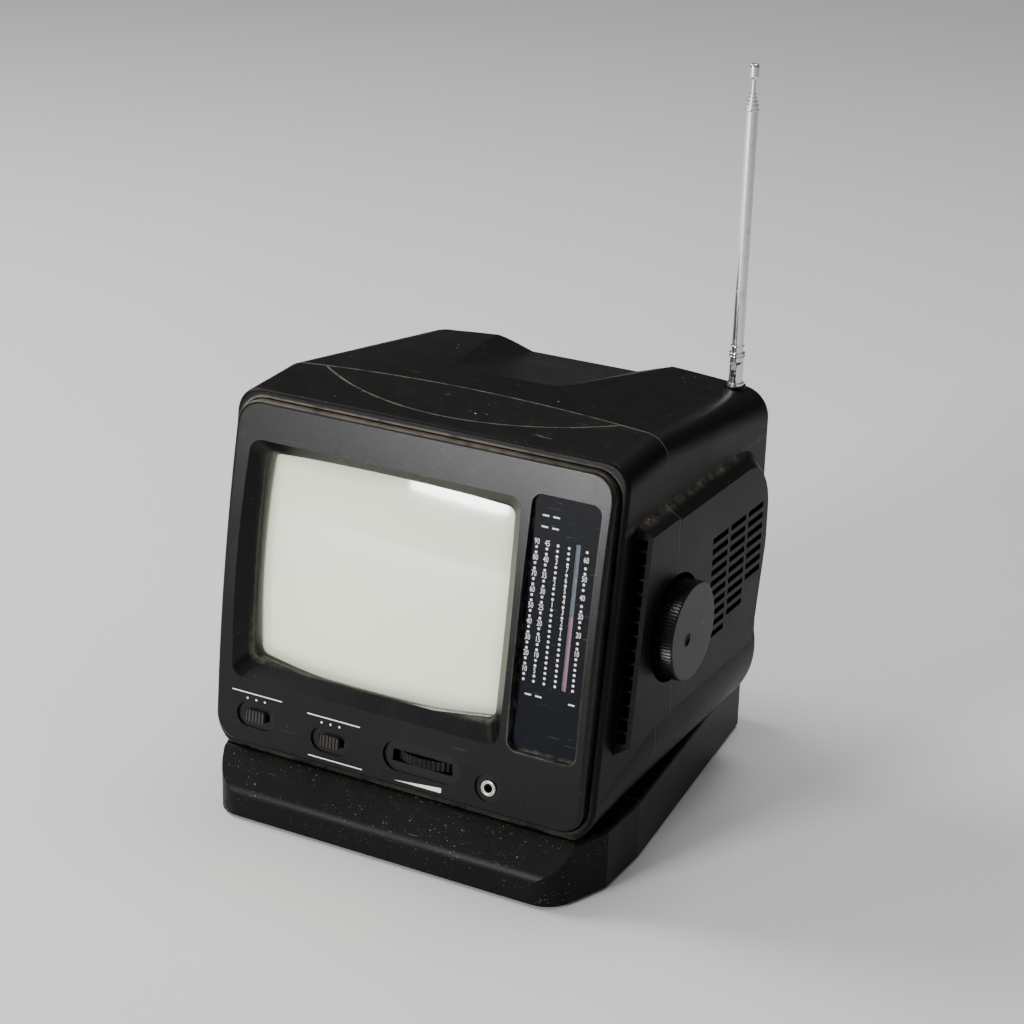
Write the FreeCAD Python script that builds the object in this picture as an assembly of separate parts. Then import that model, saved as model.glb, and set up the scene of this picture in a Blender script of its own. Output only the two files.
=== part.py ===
"""Portable television: cabinet, picture tube, dial drive, controls and telescopic aerial.

Cabinet frame while modelling: X to the viewer's right, Y towards the rear with y = 0 at the
lower edge of the front panel, Z up with z = 0 on the floor.  Everything is moved at the end
so that the origin is the centre of the footprint.
"""
import FreeCAD, Part
import math
import os
from FreeCAD import Vector, Placement, Rotation

# ---------------------------------------------------------------- driving dimensions (mm)
WALL = 2.5                  # moulded wall
GAP = 0.3                   # between moving neighbours
FIT = 0.05                  # radial clearance of a shaft in its bearing

# Front panel, in its own leaning plane (u to the right, v up, w outwards)
LEAN = 8.3                  # degrees
PANEL_Z = 29.0
PANEL_W = 161.0
PANEL_H = 136.3
PANEL_SAG = 3.0
PANEL_CORNER = 10.0
PANEL_DEPTH = 6.5           # from the panel's edge line back to its seat
RIM_STEP = 3.5              # the panel stands this far proud of the cabinet rim
LEDGE = 4.0                 # overlap of the seat behind the panel
GROOVE = 0.7                # gap between panel and rim

# Cabinet
CAB_HALF = 83.5
CAB_CORNER = 10.0
CAB_LOW_CORNER = (8.5, 28.0)    # width and height of the turned-in lower corner at the parting
CAB_LOW_FRONT = (7.0, 7.0)
CAB_LOW_REAR = (10.0, 32.0)
CAB_REAR_LEFT = 24.0        # upper corner at the rear, on the side away from the aerial
CAB_REAR_RIGHT = 12.0
PARTING_Y = 54.5
REAR_Y = 150.0
SIDE_TOP = 168.7            # top of the cabinet near its sides, at the parting line
CROWN = 3.0                 # rise of the crowned top over its sides
TOP_RISE = 0.064            # slope of the flat top in front of the parting line
HOOD_RISE = 0.209           # slope of the crowned hood in front of the parting line
REAR_FALL = 0.091           # slope of the rear top
TROUGH_HALF = 24.0
TROUGH_DEPTH = 6.3
TROUGH_START = 80.0
TROUGH_FLANK = 0.315        # rise per mm of its flanks
REAR_ROUND = 4.0
RIM_ROUND = 1.8
PANEL_ROUND = 1.6
BASE_ROUND = 1.5
KNOB_ROUND = 1.0

# Side bump with vent, dial knob dish and loudspeaker grille
BUMP_OUT = 6.0
BUMP_LOW = 56.0
BUMP_HIGH = 142.0
BUMP_BEVEL = 4.5
BUMP_STEP = 14.5            # its front face behind the panel's edge plane
BUMP_RAKE = 1.0             # the outer end of that face lies farther back
BUMP_REAR = 142.5
BUMP_REAR_ROUND = 22.0
VENT_FINS = 14
VENT_PITCH = 5.3
VENT_FIN = 1.0
VENT_W = 3.9
VENT_DEPTH = 6.0

# Base
BASE_TOP = 25.1
BASE_BOTTOM = 1.3
BASE_NOSE_Y = -8.2
BASE_NOSE_Z = 12.5
BASE_SLOPE_Y = 3.0
BASE_NOSE_HALF = 74.0
BASE_CHAMFER_Y = 18.0
BASE_SEAM_Y = 45.0
BASE_REAR_Y = REAR_Y + 28.0
BASE_REAR_HALF = 69.5
BASE_CORNER = 12.0          # rounding of the nose's corners seen from above
BASE_NOSE_ROUND = 6.0
FOOT_R = 6.0
FOOT_X = 60.0
FOOT_Y = (14.0, 142.0)

# Screen recess and picture tube
SCREEN_U = -14.5
SCREEN_V = 75.5
RECESS_W = 119.8
RECESS_H = 97.5
GLASS_W = 108.0
GLASS_H = 83.0
GLASS_BOW = 2.5
GLASS_PLANE = -3.5          # w of the opening's edge
TUBE_W = 116.0
TUBE_H = 92.0
TUBE_FACE_R = 400.0
TUBE_APEX = -3.6
TUBE_RIM_BACK = -18.0
TUBE_FUNNEL_BACK = -76.0
TUBE_NECK_R = 10.0
TUBE_END = -142.0

# Dial
DIAL_U = (48.1, 76.2)
DIAL_V = (27.2, 124.5)
DIAL_FRONT = -0.5
DIAL_THICK = 1.2
SLOT_U = 67.3
SLOT_V = (53.2, 108.6)
SLOT_W = 2.1
POINTER_TOP = 81.3
POINTER_LEN = 52.0
POINTER_W = 4.0
TRAVEL = 25.6

# Tuning drive
KNOB_Z = 95.0
KNOB_R = 19.0
KNOB_FACE_X = CAB_HALF + 13.5
KNOB_RIBS = 90
DISH_R = 21.0
DISH_DEPTH = 5.5
SHAFT_R = 3.0
SHAFT_END_X = 50.0
PINION_TEETH = 15
PINION_MODULE = 1.0

# Controls along the bottom of the panel
POWER_UV = (-61.8, 12.4)
BAND_UV = (-27.7, 10.6)
SLIDER_TRAVEL = 4.0
SLIDER_KNOB = (8.2, 4.5)
DISH_OVAL = (17.5, 10.0)
VOLUME_UV = (12.7, 12.4)
VOLUME_R = 18.0
VOLUME_T = 3.5
VOLUME_TOP = 1.5
VOLUME_SLOT = 26.0
JACK_UV = (41.6, 9.8)
JACK_HOLE_R = 1.8
BOARD_W = -26.0             # control board's front plane

# Loudspeaker
SPEAKER_Y = 108.0
SPEAKER_Z = 99.0
SPEAKER_R = 22.0

# Aerial
AERIAL_X = 71.0
AERIAL_Y = 141.0
AERIAL_SEAT_Z = 162.0
AERIAL_SEAT_R = 4.2
AERIAL_POST_R = 2.75
AERIAL_PIVOT_Z = 168.6
AERIAL_TUBE_Z = 172.0
AERIAL_TUBE_TOP = 273.0
AERIAL_R = (2.4, 2.0, 1.6, 1.25, 0.9)
AERIAL_TIP_Z = (282.5, 288.5)

# Rear controls
TRIM_X = (34.0, 48.0, 62.0)
TRIM_Z = 48.0
TRIM_R = 5.0
HUMP_HALF = 27.0
HUMP_Z = (55.0, 110.0)
HUMP_REAR_Y = REAR_Y + 22.0

# Main board and screws
MAIN_Z = 31.0
MAIN_T = 1.6
MAIN_HALF = 70.0
MAIN_Y = (31.0, 140.0)
SCREW_R = 1.5
HEAD_R = 2.8
CAB_SCREWS = ((-52.0, 150.0), (52.0, 150.0), (-71.5, 38.0), (71.5, 38.0))
BASE_SCREWS = ((-64.0, 22.0), (64.0, 22.0), (-45.0, 132.0), (45.0, 132.0))
BOARD_BOSSES = ((-64.0, 64.0), (64.0, 64.0), (-64.0, 134.0), (64.0, 134.0))

# Footprint centre
SHIFT = Vector(-(KNOB_FACE_X - CAB_HALF) / 2, -(BASE_REAR_Y + BASE_NOSE_Y) / 2, 0)

SIN = math.sin(math.radians(LEAN))
COS = math.cos(math.radians(LEAN))
PANEL_PLACE = Placement(Vector(0, 0, PANEL_Z), Rotation(Vector(1, 0, 0), 90 - LEAN))
SAG_R = (PANEL_H ** 2 / 4 + PANEL_SAG ** 2) / (2 * PANEL_SAG)
FAR = 400.0


# ---------------------------------------------------------------- helpers
def on_panel(shape):
    """Move a shape from the panel's plane (u, v, w) into the cabinet frame."""
    moved = shape.copy()
    moved.Placement = PANEL_PLACE.multiply(moved.Placement)
    return moved


def panel_point(u, v, w):
    """Cabinet-frame point of a panel coordinate."""
    return PANEL_PLACE.multVec(Vector(u, v, w))


def to_panel(point):
    """Panel coordinate of a cabinet-frame point."""
    return PANEL_PLACE.inverse().multVec(point)


def face_w(v):
    """Height of the convex panel face over its edge line at v."""
    return math.sqrt(SAG_R ** 2 - (v - PANEL_H / 2) ** 2) - (SAG_R - PANEL_SAG)


def box(x0, y0, z0, x1, y1, z1):
    """Box between two corners."""
    return Part.makeBox(x1 - x0, y1 - y0, z1 - z0, Vector(x0, y0, z0))


def rod(radius, start, end):
    """Cylinder between two points."""
    axis = Vector(*end) - Vector(*start)
    return Part.makeCylinder(radius, axis.Length, Vector(*start), axis)


def rounded_wire(x0, y0, x1, y1, radius, z=0.0):
    """Rounded rectangle in a plane of constant z."""
    d = radius * (1 - math.sqrt(0.5))
    p = Vector
    line = Part.LineSegment
    edges = [
        line(p(x0 + radius, y0, z), p(x1 - radius, y0, z)),
        Part.Arc(p(x1 - radius, y0, z), p(x1 - d, y0 + d, z), p(x1, y0 + radius, z)),
        line(p(x1, y0 + radius, z), p(x1, y1 - radius, z)),
        Part.Arc(p(x1, y1 - radius, z), p(x1 - d, y1 - d, z), p(x1 - radius, y1, z)),
        line(p(x1 - radius, y1, z), p(x0 + radius, y1, z)),
        Part.Arc(p(x0 + radius, y1, z), p(x0 + d, y1 - d, z), p(x0, y1 - radius, z)),
        line(p(x0, y1 - radius, z), p(x0, y0 + radius, z)),
        Part.Arc(p(x0, y0 + radius, z), p(x0 + d, y0 + d, z), p(x0 + radius, y0, z)),
    ]
    return Part.Wire([edge.toShape() for edge in edges])


def rounded_prism(x0, y0, x1, y1, radius, z0, z1):
    """Upright prism over a rounded rectangle."""
    face = Part.Face(rounded_wire(x0, y0, x1, y1, radius, z0))
    return face.extrude(Vector(0, 0, z1 - z0))


def polygon(points):
    """Closed face through a list of points."""
    return Part.Face(Part.makePolygon([Vector(*p) for p in points] + [Vector(*points[0])]))


def fuse(shapes):
    """One cleaned solid from several."""
    first, rest = shapes[0], shapes[1:]
    return first.fuse(rest).removeSplitter() if rest else first


def rounded(shape, radius, chosen):
    """Fillet the edges that a test chooses."""
    return shape.makeFillet(radius, [edge for edge in shape.Edges if chosen(edge)])


def export(name, shape):
    """Write one sub-part in the row frame."""
    moved = shape.copy()
    moved.translate(SHIFT)
    moved.exportStep("parts/" + name + ".step")


# ---------------------------------------------------------------- cabinet outlines
def section(y, side_top, crown, inset, low_corner, left, right):
    """Cross-section of the cabinet at y, inset by a wall."""
    half = CAB_HALF - inset
    low = BASE_TOP + inset
    top = side_top - inset
    left, right = left - inset, right - inset
    wide = low_corner[0] - inset * 0.4
    high = max(low_corner[1] - inset, wide)
    cut = 1 - math.sqrt(0.5)

    def p(x, z):
        return Vector(x, y, z)

    def side(sign, corner):
        mid = p(sign * (half - wide * cut), low + high * cut)
        lower = Part.Arc(p(sign * (half - wide), low), mid, p(sign * half, low + high))
        upper = Part.Arc(p(sign * half, top - corner),
                         p(sign * (half - corner * cut), top - corner * cut),
                         p(sign * (half - corner), top))
        wall = Part.LineSegment(p(sign * half, low + high), p(sign * half, top - corner))
        return lower, wall, upper

    lower, wall, upper = side(1, right)
    lower_left, wall_left, upper_left = side(-1, left)
    roof = Part.Arc(p(half - right, top), p(0, top + crown), p(-half + left, top))
    floor = Part.LineSegment(p(-half + wide, low), p(half - wide, low))
    parts = [floor, lower, wall, upper, roof, upper_left, wall_left, lower_left]
    return Part.Wire([part.toShape() for part in parts])


def front_block(inset):
    """Solid of the front half, with its flat top and the crowned hood over it."""
    front_y = -25.0
    run = PARTING_Y - front_y
    corner = CAB_CORNER
    flat = Part.makeLoft([section(front_y, SIDE_TOP - run * TOP_RISE, 0.4, inset,
                                  CAB_LOW_FRONT, corner, corner),
                          section(PARTING_Y, SIDE_TOP, 0.4, inset,
                                  CAB_LOW_CORNER, corner, corner)], True, True)
    half = CAB_HALF - CAB_CORNER
    top = SIDE_TOP - inset
    low = BASE_TOP + CAB_HALF
    roof = Part.Wire([
        Part.makeLine(Vector(-half, PARTING_Y, low), Vector(half, PARTING_Y, low)),
        Part.makeLine(Vector(half, PARTING_Y, low), Vector(half, PARTING_Y, top)),
        Part.Arc(Vector(half, PARTING_Y, top), Vector(0, PARTING_Y, top + CROWN),
                 Vector(-half, PARTING_Y, top)).toShape(),
        Part.makeLine(Vector(-half, PARTING_Y, top), Vector(-half, PARTING_Y, low)),
    ])
    hood = Part.Face(roof).extrude(Vector(0, -run, -run * HOOD_RISE))
    return flat.fuse(hood)


def trough(drop):
    """Wedge that cuts the sunk rear middle of the top, lowered by drop."""
    start_z = SIDE_TOP + CROWN - (TROUGH_START - PARTING_Y) * REAR_FALL - drop
    slope = REAR_FALL + TROUGH_DEPTH / (REAR_Y - 3 - TROUGH_START)
    y0 = TROUGH_START - 10
    y1 = REAR_Y + 10
    height = 30.0
    wide = TROUGH_HALF + drop * 0.3
    z0 = start_z + 10 * slope
    face = polygon([(-wide, y0, z0), (wide, y0, z0),
                    (wide + height / TROUGH_FLANK, y0, z0 + height),
                    (-wide - height / TROUGH_FLANK, y0, z0 + height)])
    return face.extrude(Vector(0, y1 - y0, -(y1 - y0) * slope))


def rear_block(inset):
    """Solid of the rear half with its sunk middle."""
    rear = REAR_Y - inset
    fall = (rear - PARTING_Y) * REAR_FALL
    body = Part.makeLoft([section(PARTING_Y, SIDE_TOP, CROWN, inset,
                                  CAB_LOW_CORNER, CAB_CORNER, CAB_CORNER),
                          section(rear, SIDE_TOP - fall, CROWN, inset,
                                  CAB_LOW_REAR, CAB_REAR_LEFT, CAB_REAR_RIGHT)], True, True)
    if inset == 0:
        edges = [e for e in body.Edges if all(abs(v.Y - rear) < 0.01 for v in e.Vertexes)]
        body = body.makeFillet(REAR_ROUND, edges)
    return body.cut(trough(inset))


def bump_rear_profile(x, inset):
    """Side outline of the bump at x, behind the parting plane."""
    low = BUMP_LOW + inset
    high = BUMP_HIGH - inset
    back = BUMP_REAR - inset
    r = BUMP_REAR_ROUND
    d = r * (1 - math.sqrt(0.5))
    edges = [
        Part.makeLine(Vector(x, PARTING_Y, low), Vector(x, back - 8, low)),
        Part.makeLine(Vector(x, back - 8, low), Vector(x, back, low + 40)),
        Part.makeLine(Vector(x, back, low + 40), Vector(x, back, high - r)),
        Part.Arc(Vector(x, back, high - r), Vector(x, back - d, high - d),
                 Vector(x, back - r, high)).toShape(),
        Part.makeLine(Vector(x, back - r, high), Vector(x, PARTING_Y, high)),
        Part.makeLine(Vector(x, PARTING_Y, high), Vector(x, PARTING_Y, low)),
    ]
    return Part.Wire(edges)


def bump_front_profile(x, inset, step):
    """Side outline of the bump at x, from its leaning front to the parting plane."""
    low = BUMP_LOW + inset
    high = BUMP_HIGH - inset

    def front(z):
        v = (z - PANEL_Z + step * SIN) / COS
        return v * SIN + step * COS

    points = [(x, PARTING_Y, low), (x, front(low), low), (x, front(high), high),
              (x, PARTING_Y, high), (x, PARTING_Y, low)]
    return Part.makePolygon([Vector(*p) for p in points])


def bump_block(inset, rear):
    """Raised block on the right side; its outer edges slope in by the bevel."""
    root = CAB_HALF - WALL
    out = CAB_HALF + BUMP_OUT - inset
    step = BUMP_STEP + (VENT_DEPTH + inset if inset else 0)
    if rear:
        near = bump_rear_profile(root, inset)
        foot = bump_rear_profile(CAB_HALF, inset)
        top = bump_rear_profile(out, inset + BUMP_BEVEL)
    else:
        near = bump_front_profile(root, inset, step)
        foot = bump_front_profile(CAB_HALF, inset, step)
        top = bump_front_profile(out, inset + BUMP_BEVEL * 0.8, step + BUMP_RAKE)
    bevel = Part.makeLoft([foot, top], True, True)
    if inset:
        return Part.Face(near).extrude(Vector(WALL, 0, 0)).fuse(bevel)
    return bevel


def knob_cup(extra):
    """Round dish that the tuning knob turns in, thickened by a wall."""
    floor = CAB_HALF + BUMP_OUT - DISH_DEPTH - extra
    return rod(DISH_R + extra, (floor, PARTING_Y, KNOB_Z), (CAB_HALF + 30, PARTING_Y, KNOB_Z))


# ---------------------------------------------------------------- cabinet pieces
def front_cabinet():
    """Front half of the cabinet: rim, seat for the panel, bump with the vent."""
    keep = on_panel(box(-FAR, -FAR, -FAR, FAR, FAR, -RIM_STEP))
    outer = front_block(0).common(keep)
    outer = rounded(outer, RIM_ROUND, on_rim)
    inner = front_block(WALL).common(on_panel(box(-FAR, -FAR, -FAR, FAR, FAR,
                                                  -PANEL_DEPTH - WALL)))
    bump_in = bump_block(WALL, False).cut(knob_cup(WALL))
    shell = outer.fuse(bump_block(0, False))
    shell = shell.cut(knob_cup(0))
    shell = shell.cut(inner.cut(knob_cup(WALL)))
    shell = shell.cut(bump_in)
    half = PANEL_W / 2
    pocket = rounded_prism(-half - GROOVE, -GROOVE, half + GROOVE, PANEL_H + GROOVE,
                           PANEL_CORNER + GROOVE, -PANEL_DEPTH, 5)
    hole = rounded_prism(-half + LEDGE, LEDGE, half - LEDGE, PANEL_H - LEDGE,
                         PANEL_CORNER - LEDGE, -PANEL_DEPTH - 2 * WALL, 5)
    shell = shell.cut(on_panel(pocket.fuse(hole)))
    shell = shell.cut(rod(SHAFT_R + 1, (CAB_HALF - 10, PARTING_Y, KNOB_Z),
                          (CAB_HALF + 10, PARTING_Y, KNOB_Z)))
    shell = shell.cut(vent_channel())
    pieces = [shell] + vent_fins() + cabinet_bosses_front()
    body = fuse(pieces)
    for x, z in CAB_SCREWS:
        body = body.cut(rod(SCREW_R, (x, PARTING_Y - 12, z), (x, PARTING_Y + 1, z)))
    for x, y in BASE_SCREWS[:2]:
        body = body.cut(rod(SCREW_R, (x, y, 0), (x, y, BASE_TOP + 6)))
    return largest(body)


def on_rim(edge):
    """True for an edge that lies in the rim's leaning plane."""
    return all(abs(to_panel(vertex.Point).z + RIM_STEP) < 0.01 for vertex in edge.Vertexes)


def largest(shape):
    """The biggest solid of a result."""
    return max(shape.Solids, key=lambda solid: solid.Volume)


def vent_box():
    """Limits of the vent channel along x."""
    x0 = CAB_HALF + 0.2
    return x0, x0 + VENT_W


def vent_v(index):
    """Centre of one gap between fins."""
    middle = ((BUMP_LOW + BUMP_HIGH) / 2 - PANEL_Z + BUMP_STEP * SIN) / COS
    return middle + (index - VENT_FINS / 2) * VENT_PITCH


def vent_channel():
    """Slot in the bump's front face."""
    x0, x1 = vent_box()
    return on_panel(box(x0, vent_v(0) - 1.5, -BUMP_STEP - VENT_DEPTH, x1, vent_v(VENT_FINS) + 1.5, 0))


def vent_fins():
    """Cross fins of the vent."""
    x0, x1 = vent_box()
    fins = []
    for i in range(VENT_FINS):
        v = vent_v(i) + VENT_PITCH / 2
        fin = box(x0 - 0.5, v - VENT_FIN / 2, -BUMP_STEP - VENT_DEPTH + 1,
                  x1 + 0.5, v + VENT_FIN / 2, -BUMP_STEP - 0.8)
        fins.append(on_panel(fin))
    return fins


def cabinet_bosses_front():
    """Screw bosses of the front half."""
    bosses = []
    for x, z in CAB_SCREWS:
        bosses.append(rod(4.0, (x, PARTING_Y - 14, z), (x, PARTING_Y, z)))
        low, high = (z, SIDE_TOP - 1) if z > SIDE_TOP / 2 else (BASE_TOP + 1, z)
        bosses.append(box(x - 1, PARTING_Y - 14, low, x + 1, PARTING_Y, high))
    for x, y in BASE_SCREWS[:2]:
        bosses.append(rod(4.0, (x, y, BASE_TOP + 1), (x, y, BASE_TOP + 6)))
    return bosses


def hump(inset):
    """Rear hump over the picture tube's neck."""
    wires = []
    for y, shrink in ((REAR_Y - 2 * WALL, -1.0), (HUMP_REAR_Y - inset, 5.0)):
        s = inset + shrink
        wire = rounded_wire(SCREEN_U - HUMP_HALF + s, HUMP_Z[0] + s,
                            SCREEN_U + HUMP_HALF - s, HUMP_Z[1] - s, 6.0)
        wire.rotate(Vector(0, 0, 0), Vector(1, 0, 0), 90)
        wire.translate(Vector(0, y, 0))
        wires.append(wire)
    return Part.makeLoft(wires, True, True)


def rear_cabinet():
    """Rear half of the cabinet with the sunk top, hump, grille and inner bosses."""
    cavity = rear_block(WALL).cut(knob_cup(WALL))
    bump_in = bump_block(WALL, True).cut(knob_cup(WALL))
    shell = rear_block(0).fuse(bump_block(0, True)).fuse(hump(0))
    seat = rod(AERIAL_SEAT_R, (AERIAL_X, AERIAL_Y, AERIAL_SEAT_Z - 6),
               (AERIAL_X, AERIAL_Y, AERIAL_SEAT_Z))
    shell = shell.fuse(seat).cut(knob_cup(0))
    shell = shell.cut(cavity).cut(bump_in).cut(hump(WALL))
    shell = shell.cut(Part.makeCompound(grille_slots() + rear_vents() + rear_holes()))
    body = fuse([shell] + cabinet_bosses_rear())
    cuts = [rod(SHAFT_R + 1, (CAB_HALF - 10, PARTING_Y, KNOB_Z),
                (CAB_HALF + 10, PARTING_Y, KNOB_Z))]
    for x, z in CAB_SCREWS:
        cuts.append(rod(SCREW_R + 0.2, (x, PARTING_Y - 1, z), (x, REAR_Y + 1, z)))
        cuts.append(rod(HEAD_R + 0.4, (x, PARTING_Y + 5, z), (x, REAR_Y + 1, z)))
    for x, y in BASE_SCREWS[2:]:
        cuts.append(rod(SCREW_R, (x, y, 0), (x, y, BASE_TOP + 6)))
    for x, y in BOARD_BOSSES:
        cuts.append(rod(SCREW_R * 0.7, (x, y, BASE_TOP + WALL), (x, y, MAIN_Z + 1)))
    return largest(body.cut(Part.makeCompound(cuts)))


def grille_slots():
    """Loudspeaker slots, three columns, the lower rear corner left closed."""
    slots = []
    for column in range(3):
        y = 85.5 + column * 16.6
        for row in range(10):
            z = 77.5 + row * 4.4
            if column * 2 > row + 1:
                continue
            slots.append(box(CAB_HALF + BUMP_OUT - 2 * WALL, y, z,
                             CAB_HALF + BUMP_OUT + 1, y + 14.2, z + 2.4))
    return slots


def rear_vents():
    """Upright cooling slots either side of the hump."""
    slots = []
    for start in (-74.0, 20.0):
        for i in range(7):
            x = start + i * 4.5
            slots.append(box(x, REAR_Y - 2 * WALL, 80, x + 2, REAR_Y + 1, 125))
    return slots


def rear_holes():
    """Openings of the rear controls and sockets and of the aerial's spigot."""
    holes = [rod(2.0 + FIT + 0.5, (x, REAR_Y - 8, TRIM_Z), (x, REAR_Y + 1, TRIM_Z))
             for x in TRIM_X]
    holes.append(rod(4.9, (-60, REAR_Y - 8, TRIM_Z), (-60, REAR_Y + 1, TRIM_Z)))
    holes.append(rod(3.1, (-42, REAR_Y - 8, TRIM_Z), (-42, REAR_Y + 1, TRIM_Z)))
    holes.append(rod(2.5 + 0.4, (AERIAL_X, AERIAL_Y, AERIAL_SEAT_Z - 12),
                     (AERIAL_X, AERIAL_Y, AERIAL_SEAT_Z + 1)))
    return holes


def cabinet_bosses_rear():
    """Screw tubes, board bosses and base bosses of the rear half."""
    pieces = []
    for x, z in CAB_SCREWS:
        pieces.append(rod(4.6, (x, PARTING_Y, z), (x, REAR_Y - 1, z)))
    for x, y in BASE_SCREWS[2:]:
        pieces.append(rod(4.0, (x, y, BASE_TOP + 1), (x, y, MAIN_Z)))
    for x, y in BOARD_BOSSES:
        pieces.append(rod(3.5, (x, y, BASE_TOP + 1), (x, y, MAIN_Z)))
    return pieces


def front_panel():
    """Convex front panel: screen recess, dial frame, control dishes and inner posts."""
    half = PANEL_W / 2
    outer = rounded_prism(-half, 0, half, PANEL_H, PANEL_CORNER, -PANEL_DEPTH, 2 * PANEL_SAG)
    drum = rod(SAG_R, (-FAR, PANEL_H / 2, PANEL_SAG - SAG_R), (FAR, PANEL_H / 2, PANEL_SAG - SAG_R))
    inner_drum = rod(SAG_R - WALL, (-FAR, PANEL_H / 2, PANEL_SAG - SAG_R),
                     (FAR, PANEL_H / 2, PANEL_SAG - SAG_R))
    side = WALL + 0.5
    core = rounded_prism(-half + side, side, half - side, PANEL_H - side,
                         PANEL_CORNER - side, -PANEL_DEPTH - 1, 2 * PANEL_SAG)
    under = outer.common(drum)
    under = rounded(under, PANEL_ROUND,
                    lambda e: min(v.Z for v in e.Vertexes) > -0.5)
    shell = under.cut(core.common(inner_drum))
    funnel_back = GLASS_PLANE - 2.0
    bezel = rounded_prism(SCREEN_U - RECESS_W / 2 - 2, SCREEN_V - RECESS_H / 2 - 2,
                          SCREEN_U + RECESS_W / 2 + 2, SCREEN_V + RECESS_H / 2 + 2,
                          6, funnel_back, 2 * PANEL_SAG).common(under)
    frame = rounded_prism(DIAL_U[0] - 2.5, DIAL_V[0] - 2.5, DIAL_U[1] + 2.0, DIAL_V[1] + 2.5,
                          5, DIAL_FRONT - 2 * DIAL_THICK, 2 * PANEL_SAG).common(under)
    pieces = [shell, bezel, frame] + panel_posts()
    body = fuse(pieces)
    cuts = [screen_funnel(), screen_opening(), dial_opening(), dial_ledge_opening(),
            pointer_relief()]
    cuts += control_cuts() + post_holes()
    for cut in cuts:
        body = body.cut(cut)
    return on_panel(largest(body))


def screen_funnel():
    """Sloping recess down to the glass."""
    top = rounded_wire(SCREEN_U - RECESS_W / 2, SCREEN_V - RECESS_H / 2 - 1,
                       SCREEN_U + RECESS_W / 2, SCREEN_V + RECESS_H / 2 - 1, 5, PANEL_SAG)
    low = rounded_wire(SCREEN_U - GLASS_W / 2, SCREEN_V - GLASS_H / 2,
                       SCREEN_U + GLASS_W / 2, SCREEN_V + GLASS_H / 2, 4, GLASS_PLANE)
    return Part.makeLoft([low, top], True, True)


def screen_opening():
    """Opening over the glass, bowed most along its lower edge."""
    x0 = SCREEN_U - GLASS_W / 2
    x1 = SCREEN_U + GLASS_W / 2
    y0 = SCREEN_V - GLASS_H / 2
    y1 = SCREEN_V + GLASS_H / 2
    z = GLASS_PLANE - 3
    bow = GLASS_BOW
    arcs = [
        Part.Arc(Vector(x0, y0 + 2, z), Vector((x0 + x1) / 2, y0 - bow, z), Vector(x1, y0 + 2, z)),
        Part.Arc(Vector(x1, y0 + 2, z), Vector(x1 + 0.8, SCREEN_V, z), Vector(x1, y1 - 1, z)),
        Part.Arc(Vector(x1, y1 - 1, z), Vector((x0 + x1) / 2, y1 + 0.8, z), Vector(x0, y1 - 1, z)),
        Part.Arc(Vector(x0, y1 - 1, z), Vector(x0 - 0.8, SCREEN_V, z), Vector(x0, y0 + 2, z)),
    ]
    prism = Part.Face(Part.Wire([arc.toShape() for arc in arcs])).extrude(Vector(0, 0, 4))
    upright = [e for e in prism.Edges
               if abs(e.Vertexes[0].X - e.Vertexes[-1].X) < 0.01 and abs(e.Length - 4) < 0.01]
    return prism.makeFillet(3.5, upright)


def dial_opening():
    """Recess that holds the dial window."""
    return rounded_prism(DIAL_U[0], DIAL_V[0], DIAL_U[1], DIAL_V[1], 4,
                         DIAL_FRONT - DIAL_THICK, 2 * PANEL_SAG)


def dial_ledge_opening():
    """Opening behind the dial window, inside its ledge."""
    return rounded_prism(DIAL_U[0] + 1.5, DIAL_V[0] + 1.5, DIAL_U[1] - 1.5, DIAL_V[1] - 1.5, 3,
                         DIAL_FRONT - 3 * DIAL_THICK, 2 * PANEL_SAG)


def pointer_relief():
    """Channel behind the panel, under the dial, that the pointer runs down into."""
    half = POINTER_W / 2 + GAP
    back = DIAL_FRONT - 3 * DIAL_THICK
    return box(SLOT_U - half, WALL + 0.5, back, SLOT_U + half, DIAL_V[0] + 2,
               DIAL_FRONT - DIAL_THICK)


def oval(u, v, w, h, z0, z1):
    """Prism with round ends."""
    return rounded_prism(u - w / 2, v - h / 2, u + w / 2, v + h / 2, h / 2 - 0.01, z0, z1)


def control_cuts():
    """Dishes, slots and the socket hole along the bottom of the panel."""
    cuts = []
    for u, v in (POWER_UV, BAND_UV):
        top = face_w(v)
        cuts.append(oval(u, v, DISH_OVAL[0], DISH_OVAL[1], top - 1.2, top + 3))
        length = 3.4 + 2 * SLIDER_TRAVEL
        cuts.append(box(u - length / 2, v - 1.5, -FAR, u + length / 2, v + 1.5, 5))
    u, v = VOLUME_UV
    top = face_w(v)
    cuts.append(oval(u, v, 33.6, 12.0, top - 1.3, top + 3))
    cuts.append(box(u - VOLUME_SLOT / 2, v - VOLUME_T / 2 - 0.6, -FAR,
                    u + VOLUME_SLOT / 2, v + VOLUME_T / 2 + 0.6, 5))
    u, v = JACK_UV
    top = face_w(v)
    cuts.append(rod(5.7, (u, v, top - 0.9), (u, v, top + 3)))
    cuts.append(rod(3.1, (u, v, -20), (u, v, 5)))
    return cuts


EAR_OUT = (TUBE_W / 2 - 0.5, TUBE_H / 2 + 2.0)
TUBE_EARS = [(SCREEN_U + a * EAR_OUT[0], SCREEN_V + b * EAR_OUT[1])
             for a in (-1, 1) for b in (-1, 1)]
BOARD_POSTS = ((-44.5, 14.0), (54.0, 14.0))


def panel_posts():
    """Posts for the tube's ears and the control board."""
    posts = []
    for u, v in TUBE_EARS:
        posts.append(rod(3.2, (u, v, TUBE_RIM_BACK + 6), (u, v, -0.5)))
    for u, v in BOARD_POSTS:
        posts.append(rod(3.0, (u, v, BOARD_W), (u, v, -0.5)))
    return posts


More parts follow.
